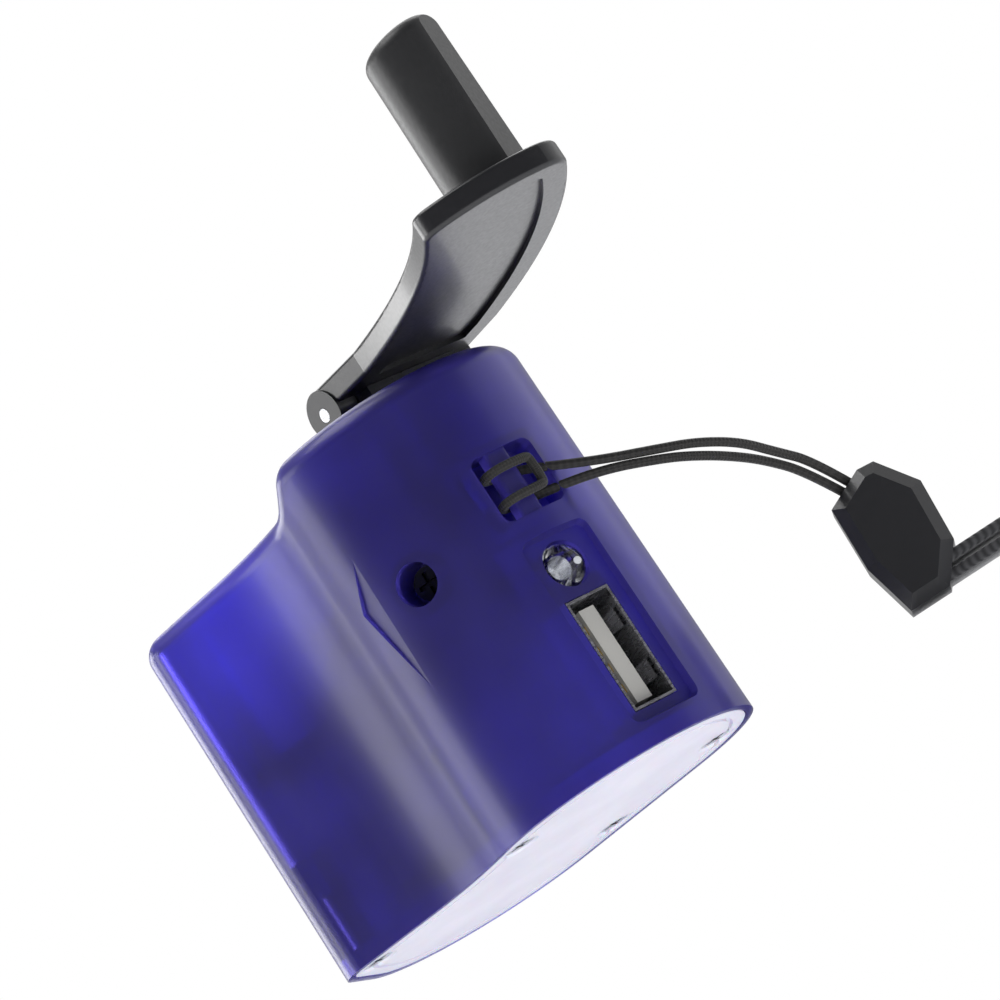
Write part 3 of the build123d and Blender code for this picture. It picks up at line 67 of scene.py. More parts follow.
# ------------------------------------------------------------------ shader graphs
class Graph:
    """A small helper that adds and links the nodes of one material."""

    def __init__(self, name: str) -> None:
        """Starts a material whose only nodes are its shader and its output.

        Args:
            name: the material's name.
        """
        self.material = bpy.data.materials.new(name)
        self.material.use_nodes = True
        self.tree = self.material.node_tree
        self.tree.nodes.clear()
        self.output = self.add("ShaderNodeOutputMaterial")
        self.shader = self.add("ShaderNodeBsdfPrincipled")
        self.link(self.shader.outputs["BSDF"], self.output.inputs["Surface"])

    def add(self, kind: str, **values: object) -> bpy.types.Node:
        """Adds a node.

        Args:
            kind: the node's type name.
            **values: properties to set on it.

        Returns:
            The new node.
        """
        node = self.tree.nodes.new(kind)
        for key, value in values.items():
            setattr(node, key, value)
        return node

    def link(self, source: bpy.types.NodeSocket, target: bpy.types.NodeSocket) -> None:
        """Joins an output to an input."""
        self.tree.links.new(source, target)

    def set(self, **values: object) -> None:
        """Sets plain values on the shader's own sockets.

        Args:
            **values: socket names, with _ for a space.
        """
        for key, value in values.items():
            self.shader.inputs[key.replace("_", " ")].default_value = value

    def place(self, scale: Sequence[float] = (1, 1, 1)) -> bpy.types.NodeSocket:
        """Gives the object's coordinates for a pattern to read.

        Args:
            scale: how much the pattern is packed along each axis.

        Returns:
            The mapped vector.
        """
        coords = self.add("ShaderNodeTexCoord")
        mapping = self.add("ShaderNodeMapping")
        mapping.inputs["Scale"].default_value = tuple(scale)
        self.link(coords.outputs["Object"], mapping.inputs["Vector"])
        return mapping.outputs["Vector"]

    def surface_run(self) -> tuple[bpy.types.NodeSocket, bpy.types.NodeSocket]:
        """Gives the surface's own coordinates, along a cord and round it."""
        coords = self.add("ShaderNodeTexCoord")
        split = self.add("ShaderNodeSeparateXYZ")
        self.link(coords.outputs["UV"], split.inputs["Vector"])
        return split.outputs["X"], split.outputs["Y"]

    def noise(self, vector: bpy.types.NodeSocket, scale: float,
              detail: float) -> bpy.types.NodeSocket:
        """Adds a noise pattern.

        Args:
            vector: the coordinates that it reads.
            scale: how many blotches there are in a metre.
            detail: how many finer layers it has.

        Returns:
            Its grey value.
        """
        node = self.add("ShaderNodeTexNoise")
        node.inputs["Scale"].default_value = scale
        node.inputs["Detail"].default_value = detail
        node.inputs["Roughness"].default_value = NOISE_ROUGHNESS
        self.link(vector, node.inputs["Vector"])
        return node.outputs["Fac"]

    def span(self, value: bpy.types.NodeSocket, low: float, high: float, out_low: float,
             out_high: float) -> bpy.types.NodeSocket:
        """Maps a value from one range to another.

        Args:
            value: the value.
            low, high: the range that it comes from.
            out_low, out_high: the range that it goes to.

        Returns:
            The mapped value, held inside the new range.
        """
        node = self.add("ShaderNodeMapRange")
        for key, number in (("From Min", low), ("From Max", high), ("To Min", out_low),
                            ("To Max", out_high)):
            node.inputs[key].default_value = number
        self.link(value, node.inputs["Value"])
        return node.outputs["Result"]

    def math(self, operation: str, a: bpy.types.NodeSocket | float,
             b: bpy.types.NodeSocket | float = 0.0) -> bpy.types.NodeSocket:
        """Adds a sum, product or other plain operation.

        Args:
            operation: the operation's name.
            a, b: its two values, each an output or a number.

        Returns:
            The result.
        """
        node = self.add("ShaderNodeMath", operation=operation)
        for socket, value in zip(node.inputs, (a, b)):
            if isinstance(value, (int, float)):
                socket.default_value = value
            else:
                self.link(value, socket)
        return node.outputs["Value"]

    def blend(self, factor: bpy.types.NodeSocket, first: Colour,
              second: Colour) -> bpy.types.NodeSocket:
        """Mixes two colours.

        Args:
            factor: the share of the second.
            first, second: the colours.

        Returns:
            The mixed colour.
        """
        node = self.add("ShaderNodeMix", data_type="RGBA")
        node.inputs[6].default_value = (*first, 1)
        node.inputs[7].default_value = (*second, 1)
        self.link(factor, node.inputs[0])
        return node.outputs[2]

    def colour(self, socket: bpy.types.NodeSocket) -> None:
        """Sends a colour to the shader."""
        self.link(socket, self.shader.inputs["Base Color"])

    def bump(self, height: bpy.types.NodeSocket, depth_mm: float) -> None:
        """Sends a height to the shader as relief.

        Args:
            height: the height, from 0 to 1.
            depth_mm: how deep the relief is.
        """
        node = self.add("ShaderNodeBump")
        node.inputs["Strength"].default_value = 1.0
        node.inputs["Distance"].default_value = depth_mm * MM
        self.link(height, node.inputs["Height"])
        self.link(node.outputs["Normal"], self.shader.inputs["Normal"])


def tone(level: float, colour: Colour) -> Colour:
    """A colour made darker or lighter."""
    return (level * colour[0], level * colour[1], level * colour[2])


# ------------------------------------------------------------------ finishes
@dataclass(frozen=True)
class Moulded:
    """Opaque injection-moulded plastic with a fine texture and slight wear.

    Attributes:
        name: the material's name.
        base: its colour.
        rough: how matt it is.
        grain: how many grains there are in a metre.
        grain_depth_mm: the depth of the texture.
        coat: the strength of its gloss.
        glow: how much light spreads inside it.
    """

    name: str
    base: Colour
    rough: float = 0.4
    grain: float = 2600.0
    grain_depth_mm: float = 0.006
    coat: float = 0.0
    glow: float = 0.0

    def make(self) -> bpy.types.Material:
        """Builds the material and returns it."""
        graph = Graph(self.name)
        where = graph.place()
        cloud = graph.noise(where, 90.0, 4.0)
        grain = graph.noise(where, self.grain, 2.0)
        shade = graph.span(cloud, 0.3, 0.7, 0.0, 1.0)
        graph.colour(graph.blend(shade, tone(0.94, self.base), tone(1.06, self.base)))
        rough = graph.span(grain, 0.2, 0.8, self.rough - 0.05, self.rough + 0.06)
        graph.link(rough, graph.shader.inputs["Roughness"])
        graph.bump(grain, self.grain_depth_mm)
        graph.set(Coat_Weight=self.coat, Coat_Roughness=0.12, IOR=1.5)
        if self.glow:
            graph.set(Subsurface_Weight=self.glow, Subsurface_Scale=1.5 * MM)
        return graph.material


@dataclass(frozen=True)
class TintedShell:
    """Translucent tinted plastic: a blurred view of what is behind, under a glossy skin, with a
    painted pool of light over one spot.

    Attributes:
        name: the material's name.
        deep: its colour away from the painted pool of light, in the darker blotches.
        bright: the colour that the painted pool of light and the paler blotches lean towards.
        painted_glow_at: the middle in mm of the painted pool of light, over the open end of the
            case.
        painted_glow_r: how far from there it fades out, in mm.
        clear: how much light goes straight through.
        rough: how much that light is blurred.
    """

    name: str
    deep: Colour
    bright: Colour
    clear: float = 0.8
    rough: float = 0.32
    painted_glow_at: Point = (-25.0, -15.5, 36.5)
    painted_glow_r: float = 15.0

    def make(self) -> bpy.types.Material:
        """Builds the material and returns it."""
        graph = Graph(self.name)
        where = graph.place()
        cloud = graph.noise(where, 38.0, 3.0)
        flow = graph.noise(graph.place(scale=(1, 1, 0.25)), 160.0, 2.0)
        # Painted light: the colour turns brighter round one fixed spot on the case and fades out
        # with distance.
        near = graph.add("ShaderNodeVectorMath", operation="DISTANCE")
        near.inputs[1].default_value = tuple(value * MM for value in self.painted_glow_at)
        graph.link(where, near.inputs[0])
        painted_glow = graph.span(near.outputs["Value"], 0.2 * self.painted_glow_r * MM,
                              self.painted_glow_r * MM, 0.85, 0.0)
        share = graph.math("ADD", graph.span(cloud, 0.3, 0.7, 0.0, 0.45), painted_glow)
        graph.colour(graph.blend(share, self.deep, self.bright))
        rough = graph.span(flow, 0.3, 0.7, self.rough - 0.03, self.rough + 0.03)
        graph.link(rough, graph.shader.inputs["Roughness"])
        graph.set(Transmission_Weight=self.clear, IOR=1.45, Specular_IOR_Level=0.28,
                  Coat_Weight=0.12, Coat_Roughness=0.15)
        return graph.material


@dataclass(frozen=True)
class ClearLens:
    """Clear cast resin, as of a small light.

    Attributes:
        name: the material's name.
        tint: its colour.
        rough: how matt it is.
    """

    name: str
    tint: Colour = (0.97, 0.98, 1.0)
    rough: float = 0.03

    def make(self) -> bpy.types.Material:
        """Builds the material and returns it."""
        graph = Graph(self.name)
        cloud = graph.noise(graph.place(), 400.0, 2.0)
        rough = graph.span(cloud, 0.3, 0.7, self.rough, self.rough + 0.04)
        graph.link(rough, graph.shader.inputs["Roughness"])
        graph.set(Base_Color=(*self.tint, 1), Transmission_Weight=1.0, IOR=1.5)
        return graph.material


@dataclass(frozen=True)
class Metal:
    """Metal with fine marks along one axis.

    Attributes:
        name: the material's name.
        base: its colour.
        rough: how matt it is.
        stretch: the marks' packing along each axis.
        depth_mm: the depth of the marks.
    """

    name: str
    base: Colour
    rough: float = 0.25
    stretch: Point = (1, 1, 8)
    depth_mm: float = 0.004

    def make(self) -> bpy.types.Material:
        """Builds the material and returns it."""
        graph = Graph(self.name)
        marks = graph.noise(graph.place(scale=self.stretch), 900.0, 3.0)
        stain = graph.noise(graph.place(), 220.0, 4.0)
        shade = graph.span(stain, 0.3, 0.75, 0.0, 1.0)
        graph.colour(graph.blend(shade, tone(0.86, self.base), tone(1.04, self.base)))
        rough = graph.span(marks, 0.25, 0.75, self.rough - 0.06, self.rough + 0.1)
        graph.link(rough, graph.shader.inputs["Roughness"])
        graph.bump(marks, self.depth_mm)
        graph.set(Metallic=1.0)
        return graph.material


@dataclass(frozen=True)
class Winding:
    """Enamelled copper wire wound side by side.

    Attributes:
        name: the material's name.
        wire_mm: half the pattern's repeat.
        groove, crown: painted shade between the wires, and the copper's own colour on them.
    """

    name: str
    wire_mm: float = 0.12
    groove_shade: Colour = (0.22, 0.06, 0.02)
    crown: Colour = (0.72, 0.30, 0.13)

    def make(self) -> bpy.types.Material:
        """Builds the material and returns it."""
        graph = Graph(self.name)
        wave = graph.add("ShaderNodeTexWave", wave_type="BANDS", bands_direction="Z")
        wave.inputs["Scale"].default_value = WAVE_PERIOD / (self.wire_mm * MM) / 2
        wave.inputs["Distortion"].default_value = 0.4
        graph.link(graph.place(), wave.inputs["Vector"])
        # Painted shade: the copper darkens between the wires, along the same bands that give the
        # relief.
        graph.colour(graph.blend(wave.outputs["Fac"], self.groove_shade, self.crown))
        graph.bump(wave.outputs["Fac"], 0.04)
        graph.set(Metallic=0.85, Roughness=0.3)
        return graph.material


@dataclass(frozen=True)
class Braid:
    """A thin braided cord: two sets of yarns crossing round it.

    Attributes:
        name: the material's name.
        turns: how many times a yarn's pattern repeats along the whole cord.
        carriers: how many yarns show round the cord.
        dark, pale: painted shade in the grooves, and the yarn's own colour on the crowns.
    """

    name: str
    turns: float
    carriers: int = 8
    dark: Colour = (0.007, 0.007, 0.007)
    pale: Colour = (0.026, 0.024, 0.022)

    def make(self) -> bpy.types.Material:
        """Builds the material and returns it."""
        graph = Graph(self.name)
        run, round_it = graph.surface_run()
        along = graph.math("MULTIPLY", run, 2 * math.pi * self.turns)
        around = graph.math("MULTIPLY", round_it, math.pi * self.carriers)
        left = graph.math("SINE", graph.math("ADD", along, around))
        right = graph.math("SINE", graph.math("SUBTRACT", along, around))
        yarn = graph.span(graph.math("MULTIPLY", left, right), -1.0, 1.0, 0.0, 1.0)
        # Painted shade: the yarn darkens in the grooves, following the same height that gives the
        # relief.
        graph.colour(graph.blend(yarn, self.dark, self.pale))
        graph.bump(yarn, 0.08)
        graph.set(Roughness=0.75, Sheen_Weight=0.15, Sheen_Roughness=0.4)
        return graph.material


@dataclass(frozen=True)
class Webbing:
    """A narrow woven tape with a herringbone face and plain edges.

    Attributes:
        name: the material's name.
        rows: how many wefts there are along the whole tape.
        ribs: how many ribs there are round it.
        slope: how far a weft leans over one rib, in rows.
        dark, pale: painted shade in the grooves, and the yarn's own colour on the crowns.
    """

    name: str
    rows: float
    ribs: float = 7.0
    slope: float = 1.2
    dark: Colour = (0.010, 0.010, 0.012)
    pale: Colour = (0.045, 0.045, 0.048)

    def make(self) -> bpy.types.Material:
        """Builds the material and returns it."""
        graph = Graph(self.name)
        run, round_it = graph.surface_run()
        rib = graph.math("PINGPONG", graph.math("MULTIPLY", round_it, self.ribs), 1.0)
        slant = graph.math("ADD", graph.math("MULTIPLY", run, self.rows),
                           graph.math("MULTIPLY", rib, self.slope))
        weft = graph.math("SINE", graph.math("MULTIPLY", slant, 2 * math.pi))
        height = graph.span(weft, -1.0, 1.0, 0.0, 1.0)
        # Painted shade: the tape darkens in the grooves between wefts, following the same height
        # that gives the relief.
        graph.colour(graph.blend(height, self.dark, self.pale))
        graph.bump(height, 0.09)
        graph.set(Roughness=0.8, Sheen_Weight=0.5, Sheen_Roughness=0.45)
        return graph.material


class Finish(Enum):
    """The finishes of the charger's pieces."""

    BLUE = TintedShell("tinted blue plastic", (0.062, 0.047, 0.30), (0.15, 0.12, 0.98))
    WHITE = Moulded("pale satin plastic", (0.87, 0.85, 0.96), rough=0.35, glow=0.3)
    BLACK = Moulded("black satin plastic", (0.012, 0.012, 0.014), rough=0.34, coat=0.2)
    GRIP = Moulded("soft black plastic", (0.020, 0.020, 0.021), rough=0.42)
    HUB = Moulded("dark hub plastic", (0.010, 0.011, 0.018), rough=0.3, coat=0.3)
    NYLON = Moulded("natural nylon", (0.72, 0.71, 0.66), rough=0.45, glow=0.2)
    FRAME = Moulded("dark frame plastic", (0.02, 0.02, 0.024), rough=0.45)
    TONGUE = Moulded("socket tongue plastic", (0.46, 0.45, 0.42), rough=0.45)
    STEEL = Metal("bright steel", (0.66, 0.67, 0.70), rough=0.22)
    SHELL = Metal("plated socket steel", (0.50, 0.50, 0.54), rough=0.25, stretch=(1, 1, 4))
    DULL_STEEL = Metal("dull drawn steel", (0.40, 0.41, 0.43), rough=0.48)
    # Near black: blackened steel, made darker still as painted shade so that the side screw sinks
    # into the shade of its hole.
    DARK_STEEL = Metal("blackened steel", (0.020, 0.020, 0.027), rough=0.48)
    BRONZE = Metal("sintered bronze", (0.58, 0.38, 0.18), rough=0.4)
    GOLD = Metal("gold plate", (0.90, 0.68, 0.28), rough=0.2)
    FERRITE = Moulded("ferrite", (0.03, 0.03, 0.032), rough=0.6, grain_depth_mm=0.02)
    BOARD = Moulded("lacquered board", (0.02, 0.16, 0.07), rough=0.25, coat=0.6)
    COMPONENT = Moulded("component case", (0.02, 0.02, 0.022), rough=0.35)
    RED = Moulded("red insulation", (0.45, 0.02, 0.02), rough=0.4)
    DARK = Moulded("black insulation", (0.015, 0.015, 0.016), rough=0.4)
    COPPER = Winding("enamelled copper winding")
    LENS = ClearLens("clear lens")


class Wardrobe:
    """Builds each finish once and hands it out."""

    def __init__(self) -> None:
        """Starts with nothing built."""
        self.made: dict[str, bpy.types.Material] = {}

    def get(self, finish: object) -> bpy.types.Material:
        """Gives a finish's material.

        Args:
            finish: a member of Finish, or a finish of its own.

        Returns:
            The material.
        """
        recipe = finish.value if isinstance(finish, Finish) else finish
        if recipe.name not in self.made:
            self.made[recipe.name] = recipe.make()
        return self.made[recipe.name]

    def dress(self, thing: bpy.types.Object, finish: object) -> None:
        """Puts a finish on every slot of an object."""
        material = self.get(finish)
        if not thing.data.materials:
            thing.data.materials.append(material)
        for slot in thing.material_slots:
            slot.material = material


# ------------------------------------------------------------------ meshes
def add_object(name: str, mesh: bmesh.types.BMesh) -> bpy.types.Object:
    """Makes an object at the origin from a finished mesh.

    Args:
        name: the object's name.
        mesh: its mesh, which is freed.

    Returns:
        The object.
    """
    bmesh.ops.recalc_face_normals(mesh, faces=mesh.faces)
    data = bpy.data.meshes.new(name)
    mesh.to_mesh(data)
    mesh.free()
    thing = bpy.data.objects.new(name, data)
    bpy.context.scene.collection.objects.link(thing)
    return thing


def face_height(face: bmesh.types.BMFace) -> float:
    """The height of a face's middle."""
    return face.calc_center_median().z


def smooth(thing: bpy.types.Object, angle: float = 40.0) -> None:
    """Shades an object smooth, apart from edges sharper than an angle in degrees."""
    thing.data.polygons.foreach_set("use_smooth", [True] * len(thing.data.polygons))
    thing.data.set_sharp_from_angle(angle=math.radians(angle))


def smooth_line(points: Sequence[Vector], steps: int = 8) -> list[Vector]:
    """Reads the smooth line that a NURBS spline draws from its control points.

    Args:
        points: the control points.
        steps: how finely each span is read.

    Returns:
        The line's points in order.
    """
    data = bpy.data.curves.new("route", "CURVE")
    data.dimensions = "3D"
    data.resolution_u = steps
    spline = data.splines.new("NURBS")
    spline.points.add(len(points) - 1)
    for point, at in zip(spline.points, points):
        point.co = (*at, 1)
    spline.order_u = 3
    spline.use_endpoint_u = True
    thing = bpy.data.objects.new("route", data)
    bpy.context.scene.collection.objects.link(thing)
    bpy.context.view_layer.update()
    mesh = bpy.data.meshes.new_from_object(thing)
    line = [v.co.copy() for v in mesh.vertices]
    bpy.data.objects.remove(thing)
    bpy.data.curves.remove(data)
    bpy.data.meshes.remove(mesh)
    return line


def sweep(line: Sequence[Vector], section: Sequence[tuple[float, float]],
          side: Vector) -> bmesh.types.BMesh:
    """Carries a section along a line that stays in one upright plane.

    Args:
        line: the line's points.
        section: the section's corners, across the line and above it.
        side: the level direction across the line.

    Returns:
        A closed mesh with a UV map that runs along the line and round the section.
    """
    mesh = bmesh.new()
    rings = []
    for index, at in enumerate(line):
        ahead = line[min(index + 1, len(line) - 1)] - line[max(index - 1, 0)]
        above = side.cross(ahead.normalized())
        rings.append([mesh.verts.new(at + side * x + above * y) for x, y in section])
    layer = mesh.loops.layers.uv.new("UVMap")
    count = len(section)
    width = max(x for x, _ in section) - min(x for x, _ in section)
    run = 0.0
    total = sum((b - a).length for a, b in zip(line, line[1:]))
    for before, after, a, b in zip(rings, rings[1:], line, line[1:]):
        ahead = run + (b - a).length
        for k in range(count):
            nxt = (k + 1) % count
            face = mesh.faces.new((before[k], before[nxt], after[nxt], after[k]))
            across = [section[k][0] / width + 0.5, section[nxt][0] / width + 0.5]
            spots = ((run, across[0]), (run, across[1]), (ahead, across[1]), (ahead, across[0]))
            for loop, (u, v) in zip(face.loops, spots):
                loop[layer].uv = (u / total, v)
        run = ahead
    for ring in (rings[0], rings[-1]):
        mesh.faces.new(ring)
    return mesh


@dataclass(frozen=True)
class Column:
    """The socket column's own directions on the round nose.

    Attributes:
        centre: the nose's centre in plan.
        angle: the column's direction in degrees from +X.
    """

    centre: tuple[float, float] = (-1.8, -2.4)
    angle: float = -33.0

    def matrix(self, side: float, height: float, distance: float) -> Matrix:
        """A place on the column: local x goes along the wall, y up and z outwards.

        Args:
            side: mm along the wall.
            height: mm above the floor.
            distance: mm from the nose's centre.

        Returns:
            The place as a matrix in metres.
        """
        turn = math.radians(self.angle)
        out = Vector((math.cos(turn), math.sin(turn), 0))
        along = Vector((-out.y, out.x, 0))
        at = Vector((*self.centre, 0)) + out * distance + along * side + Vector((0, 0, height))
        matrix = Matrix((along, (0, 0, 1), out)).transposed().to_4x4()
        matrix.translation = at * MM
        return matrix


# ------------------------------------------------------------------ studio
@dataclass(frozen=True)
class Softbox:
    """A soft rectangular lamp that faces the charger.

    Attributes:
        name: the lamp's name.
        at: where it hangs.
        size: its width and height.
        watts: its power.
    """

    name: str
    at: Point
    size: tuple[float, float]
    watts: float

    def hang(self, focus: Point) -> None:
        """Hangs the lamp.

        Args:
            focus: the spot that it faces.
        """
        data = bpy.data.lights.new(self.name, "AREA")
        data.shape = "RECTANGLE"
        data.size, data.size_y = self.size
        data.energy = self.watts
        lamp = bpy.data.objects.new(self.name, data)
        lamp.location = self.at
        way = Vector(focus) - Vector(self.at)
        lamp.rotation_euler = way.to_track_quat("-Z", "Y").to_euler()
        bpy.context.scene.collection.objects.link(lamp)


@dataclass
class Studio:
    """The camera, the lamps, the floor and the pale world.

    Attributes:
        camera_at: where the camera stands.
        right, above, back: the camera's own axes, which give its turn and its tilt.
        lens_mm: its focal length on a 36 mm sensor.
        focus: the spot that the lamps face.
        fill: the even light from all round.
        room: how bright the room is in reflections on the camera's side.
        backdrop: how bright it is in reflections behind the charger.
        lamps: the softboxes.
    """

    camera_at: Point = (0.25639, -0.6359, -0.09926)
    right: Point = (0.73936, 0.40464, -0.53816)
    above: Point = (0.56779, 0.05488, 0.82134)
    back: Point = (0.36189, -0.91283, -0.18918)
    lens_mm: float = 242.7
    focus: Point = (-0.005, -0.002, 0.03)
    fill: float = 0.5
    room: float = 0.06
    backdrop: float = 0.5
    lamps: Sequence[Softbox] = (
        Softbox("left softbox", (-0.60, -0.28, 0.22), (0.22, 0.5), 1.6),
        Softbox("side softbox", (-0.76, 0.17, 0.18), (0.45, 0.6), 4.2),
        Softbox("right softbox", (0.50, 0.42, 0.25), (0.8, 0.6), 1.0),
        Softbox("back softbox", (-0.1, 0.5, 0.65), (0.7, 0.5), 2.0),
        Softbox("top softbox", (-0.1, -0.2, 0.75), (0.5, 0.5), 3.0),
        Softbox("under softbox", (0.25, -0.35, -0.45), (0.6, 0.5), 3.0),
    )

    def make_camera(self) -> None:
        """Sets the camera at the photograph's angle."""
        data = bpy.data.cameras.new("camera")
        data.lens = self.lens_mm
        data.sensor_width = 36.0
        data.clip_start, data.clip_end = 0.01, 20.0
        camera = bpy.data.objects.new("camera", data)
        axes = Matrix((self.right, self.above, self.back)).transposed().to_4x4()
        axes.translation = Vector(self.camera_at)
        camera.matrix_world = axes
        bpy.context.scene.collection.objects.link(camera)
        bpy.context.scene.camera = camera

    def make_world(self) -> None:
        """Makes a white background, a dimmer fill, and a room that mirrors bright behind."""
        world = bpy.data.worlds.new("studio")
        bpy.context.scene.world = world
        world.use_nodes = True
        tree = world.node_tree
        tree.nodes.clear()
        output = tree.nodes.new("ShaderNodeOutputWorld")
        mix = tree.nodes.new("ShaderNodeMixShader")
        path = tree.nodes.new("ShaderNodeLightPath")
        room = tree.nodes.new("ShaderNodeMixShader")
        fill = tree.nodes.new("ShaderNodeBackground")
        white = tree.nodes.new("ShaderNodeBackground")
        mirrored = tree.nodes.new("ShaderNodeBackground")
        fill.inputs["Color"].default_value = (0.93, 0.95, 1.0, 1)
        fill.inputs["Strength"].default_value = self.fill
        white.inputs["Strength"].default_value = 1.0
        for shade in (white, mirrored):
            shade.inputs["Color"].default_value = (1, 1, 1, 1)
        coords = tree.nodes.new("ShaderNodeTexCoord")
        toward = tree.nodes.new("ShaderNodeVectorMath")
        toward.operation = "DOT_PRODUCT"
        toward.inputs[1].default_value = tuple(-value for value in self.back)
        rise = tree.nodes.new("ShaderNodeMapRange")
        for key, number in (("From Min", -0.1), ("From Max", 0.8), ("To Min", self.room),
                            ("To Max", self.backdrop)):
            rise.inputs[key].default_value = number
        tree.links.new(coords.outputs["Generated"], toward.inputs[0])
        tree.links.new(toward.outputs["Value"], rise.inputs["Value"])
        tree.links.new(rise.outputs["Result"], mirrored.inputs["Strength"])
        clear = tree.nodes.new("ShaderNodeMath")
        clear.operation = "MAXIMUM"
        tree.links.new(path.outputs["Is Camera Ray"], clear.inputs[0])
        tree.links.new(path.outputs["Is Transmission Ray"], clear.inputs[1])
        tree.links.new(path.outputs["Is Glossy Ray"], room.inputs["Fac"])
        tree.links.new(fill.outputs["Background"], room.inputs[1])
        tree.links.new(mirrored.outputs["Background"], room.inputs[2])
        tree.links.new(clear.outputs[0], mix.inputs["Fac"])
        tree.links.new(room.outputs["Shader"], mix.inputs[1])
        tree.links.new(white.outputs["Background"], mix.inputs[2])
        tree.links.new(mix.outputs["Shader"], output.inputs["Surface"])

    def make_floor(self) -> None:
        """Lays a pale floor that shows from above only, so the low view stays clear."""
        mesh = bmesh.new()
        bmesh.ops.create_grid(mesh, x_segments=1, y_segments=1, size=3.0)
        bmesh.ops.translate(mesh, verts=mesh.verts, vec=(0, 0, -0.0002))
        floor = add_object("floor", mesh)
        graph = Graph("pale floor")
        grain = graph.noise(graph.place(), 60.0, 2.0)
        graph.colour(graph.blend(grain, (0.86, 0.86, 0.87), (0.90, 0.90, 0.90)))
        graph.set(Roughness=0.8)
        path = graph.add("ShaderNodeLightPath")
        geometry = graph.add("ShaderNodeNewGeometry")
        clear = graph.add("ShaderNodeBsdfTransparent")
        mix = graph.add("ShaderNodeMixShader")
        seen = graph.math("MAXIMUM", path.outputs["Is Camera Ray"], path.outputs["Is Glossy Ray"])
        seen = graph.math("MAXIMUM", seen, path.outputs["Is Transmission Ray"])
        front = graph.math("SUBTRACT", 1.0, geometry.outputs["Backfacing"])
        graph.link(graph.math("MULTIPLY", seen, front), mix.inputs["Fac"])
        graph.link(clear.outputs[0], mix.inputs[1])
        graph.link(graph.shader.outputs[0], mix.inputs[2])
        graph.link(mix.outputs[0], graph.output.inputs["Surface"])
        floor.data.materials.append(graph.material)

    def make(self) -> None:
        """Builds the whole studio."""
        bpy.context.scene.view_settings.view_transform = "Standard"
        self.make_camera()
        self.make_world()
        self.make_floor()
        for lamp in self.lamps:
            lamp.hang(self.focus)
        LOG.info("studio set")


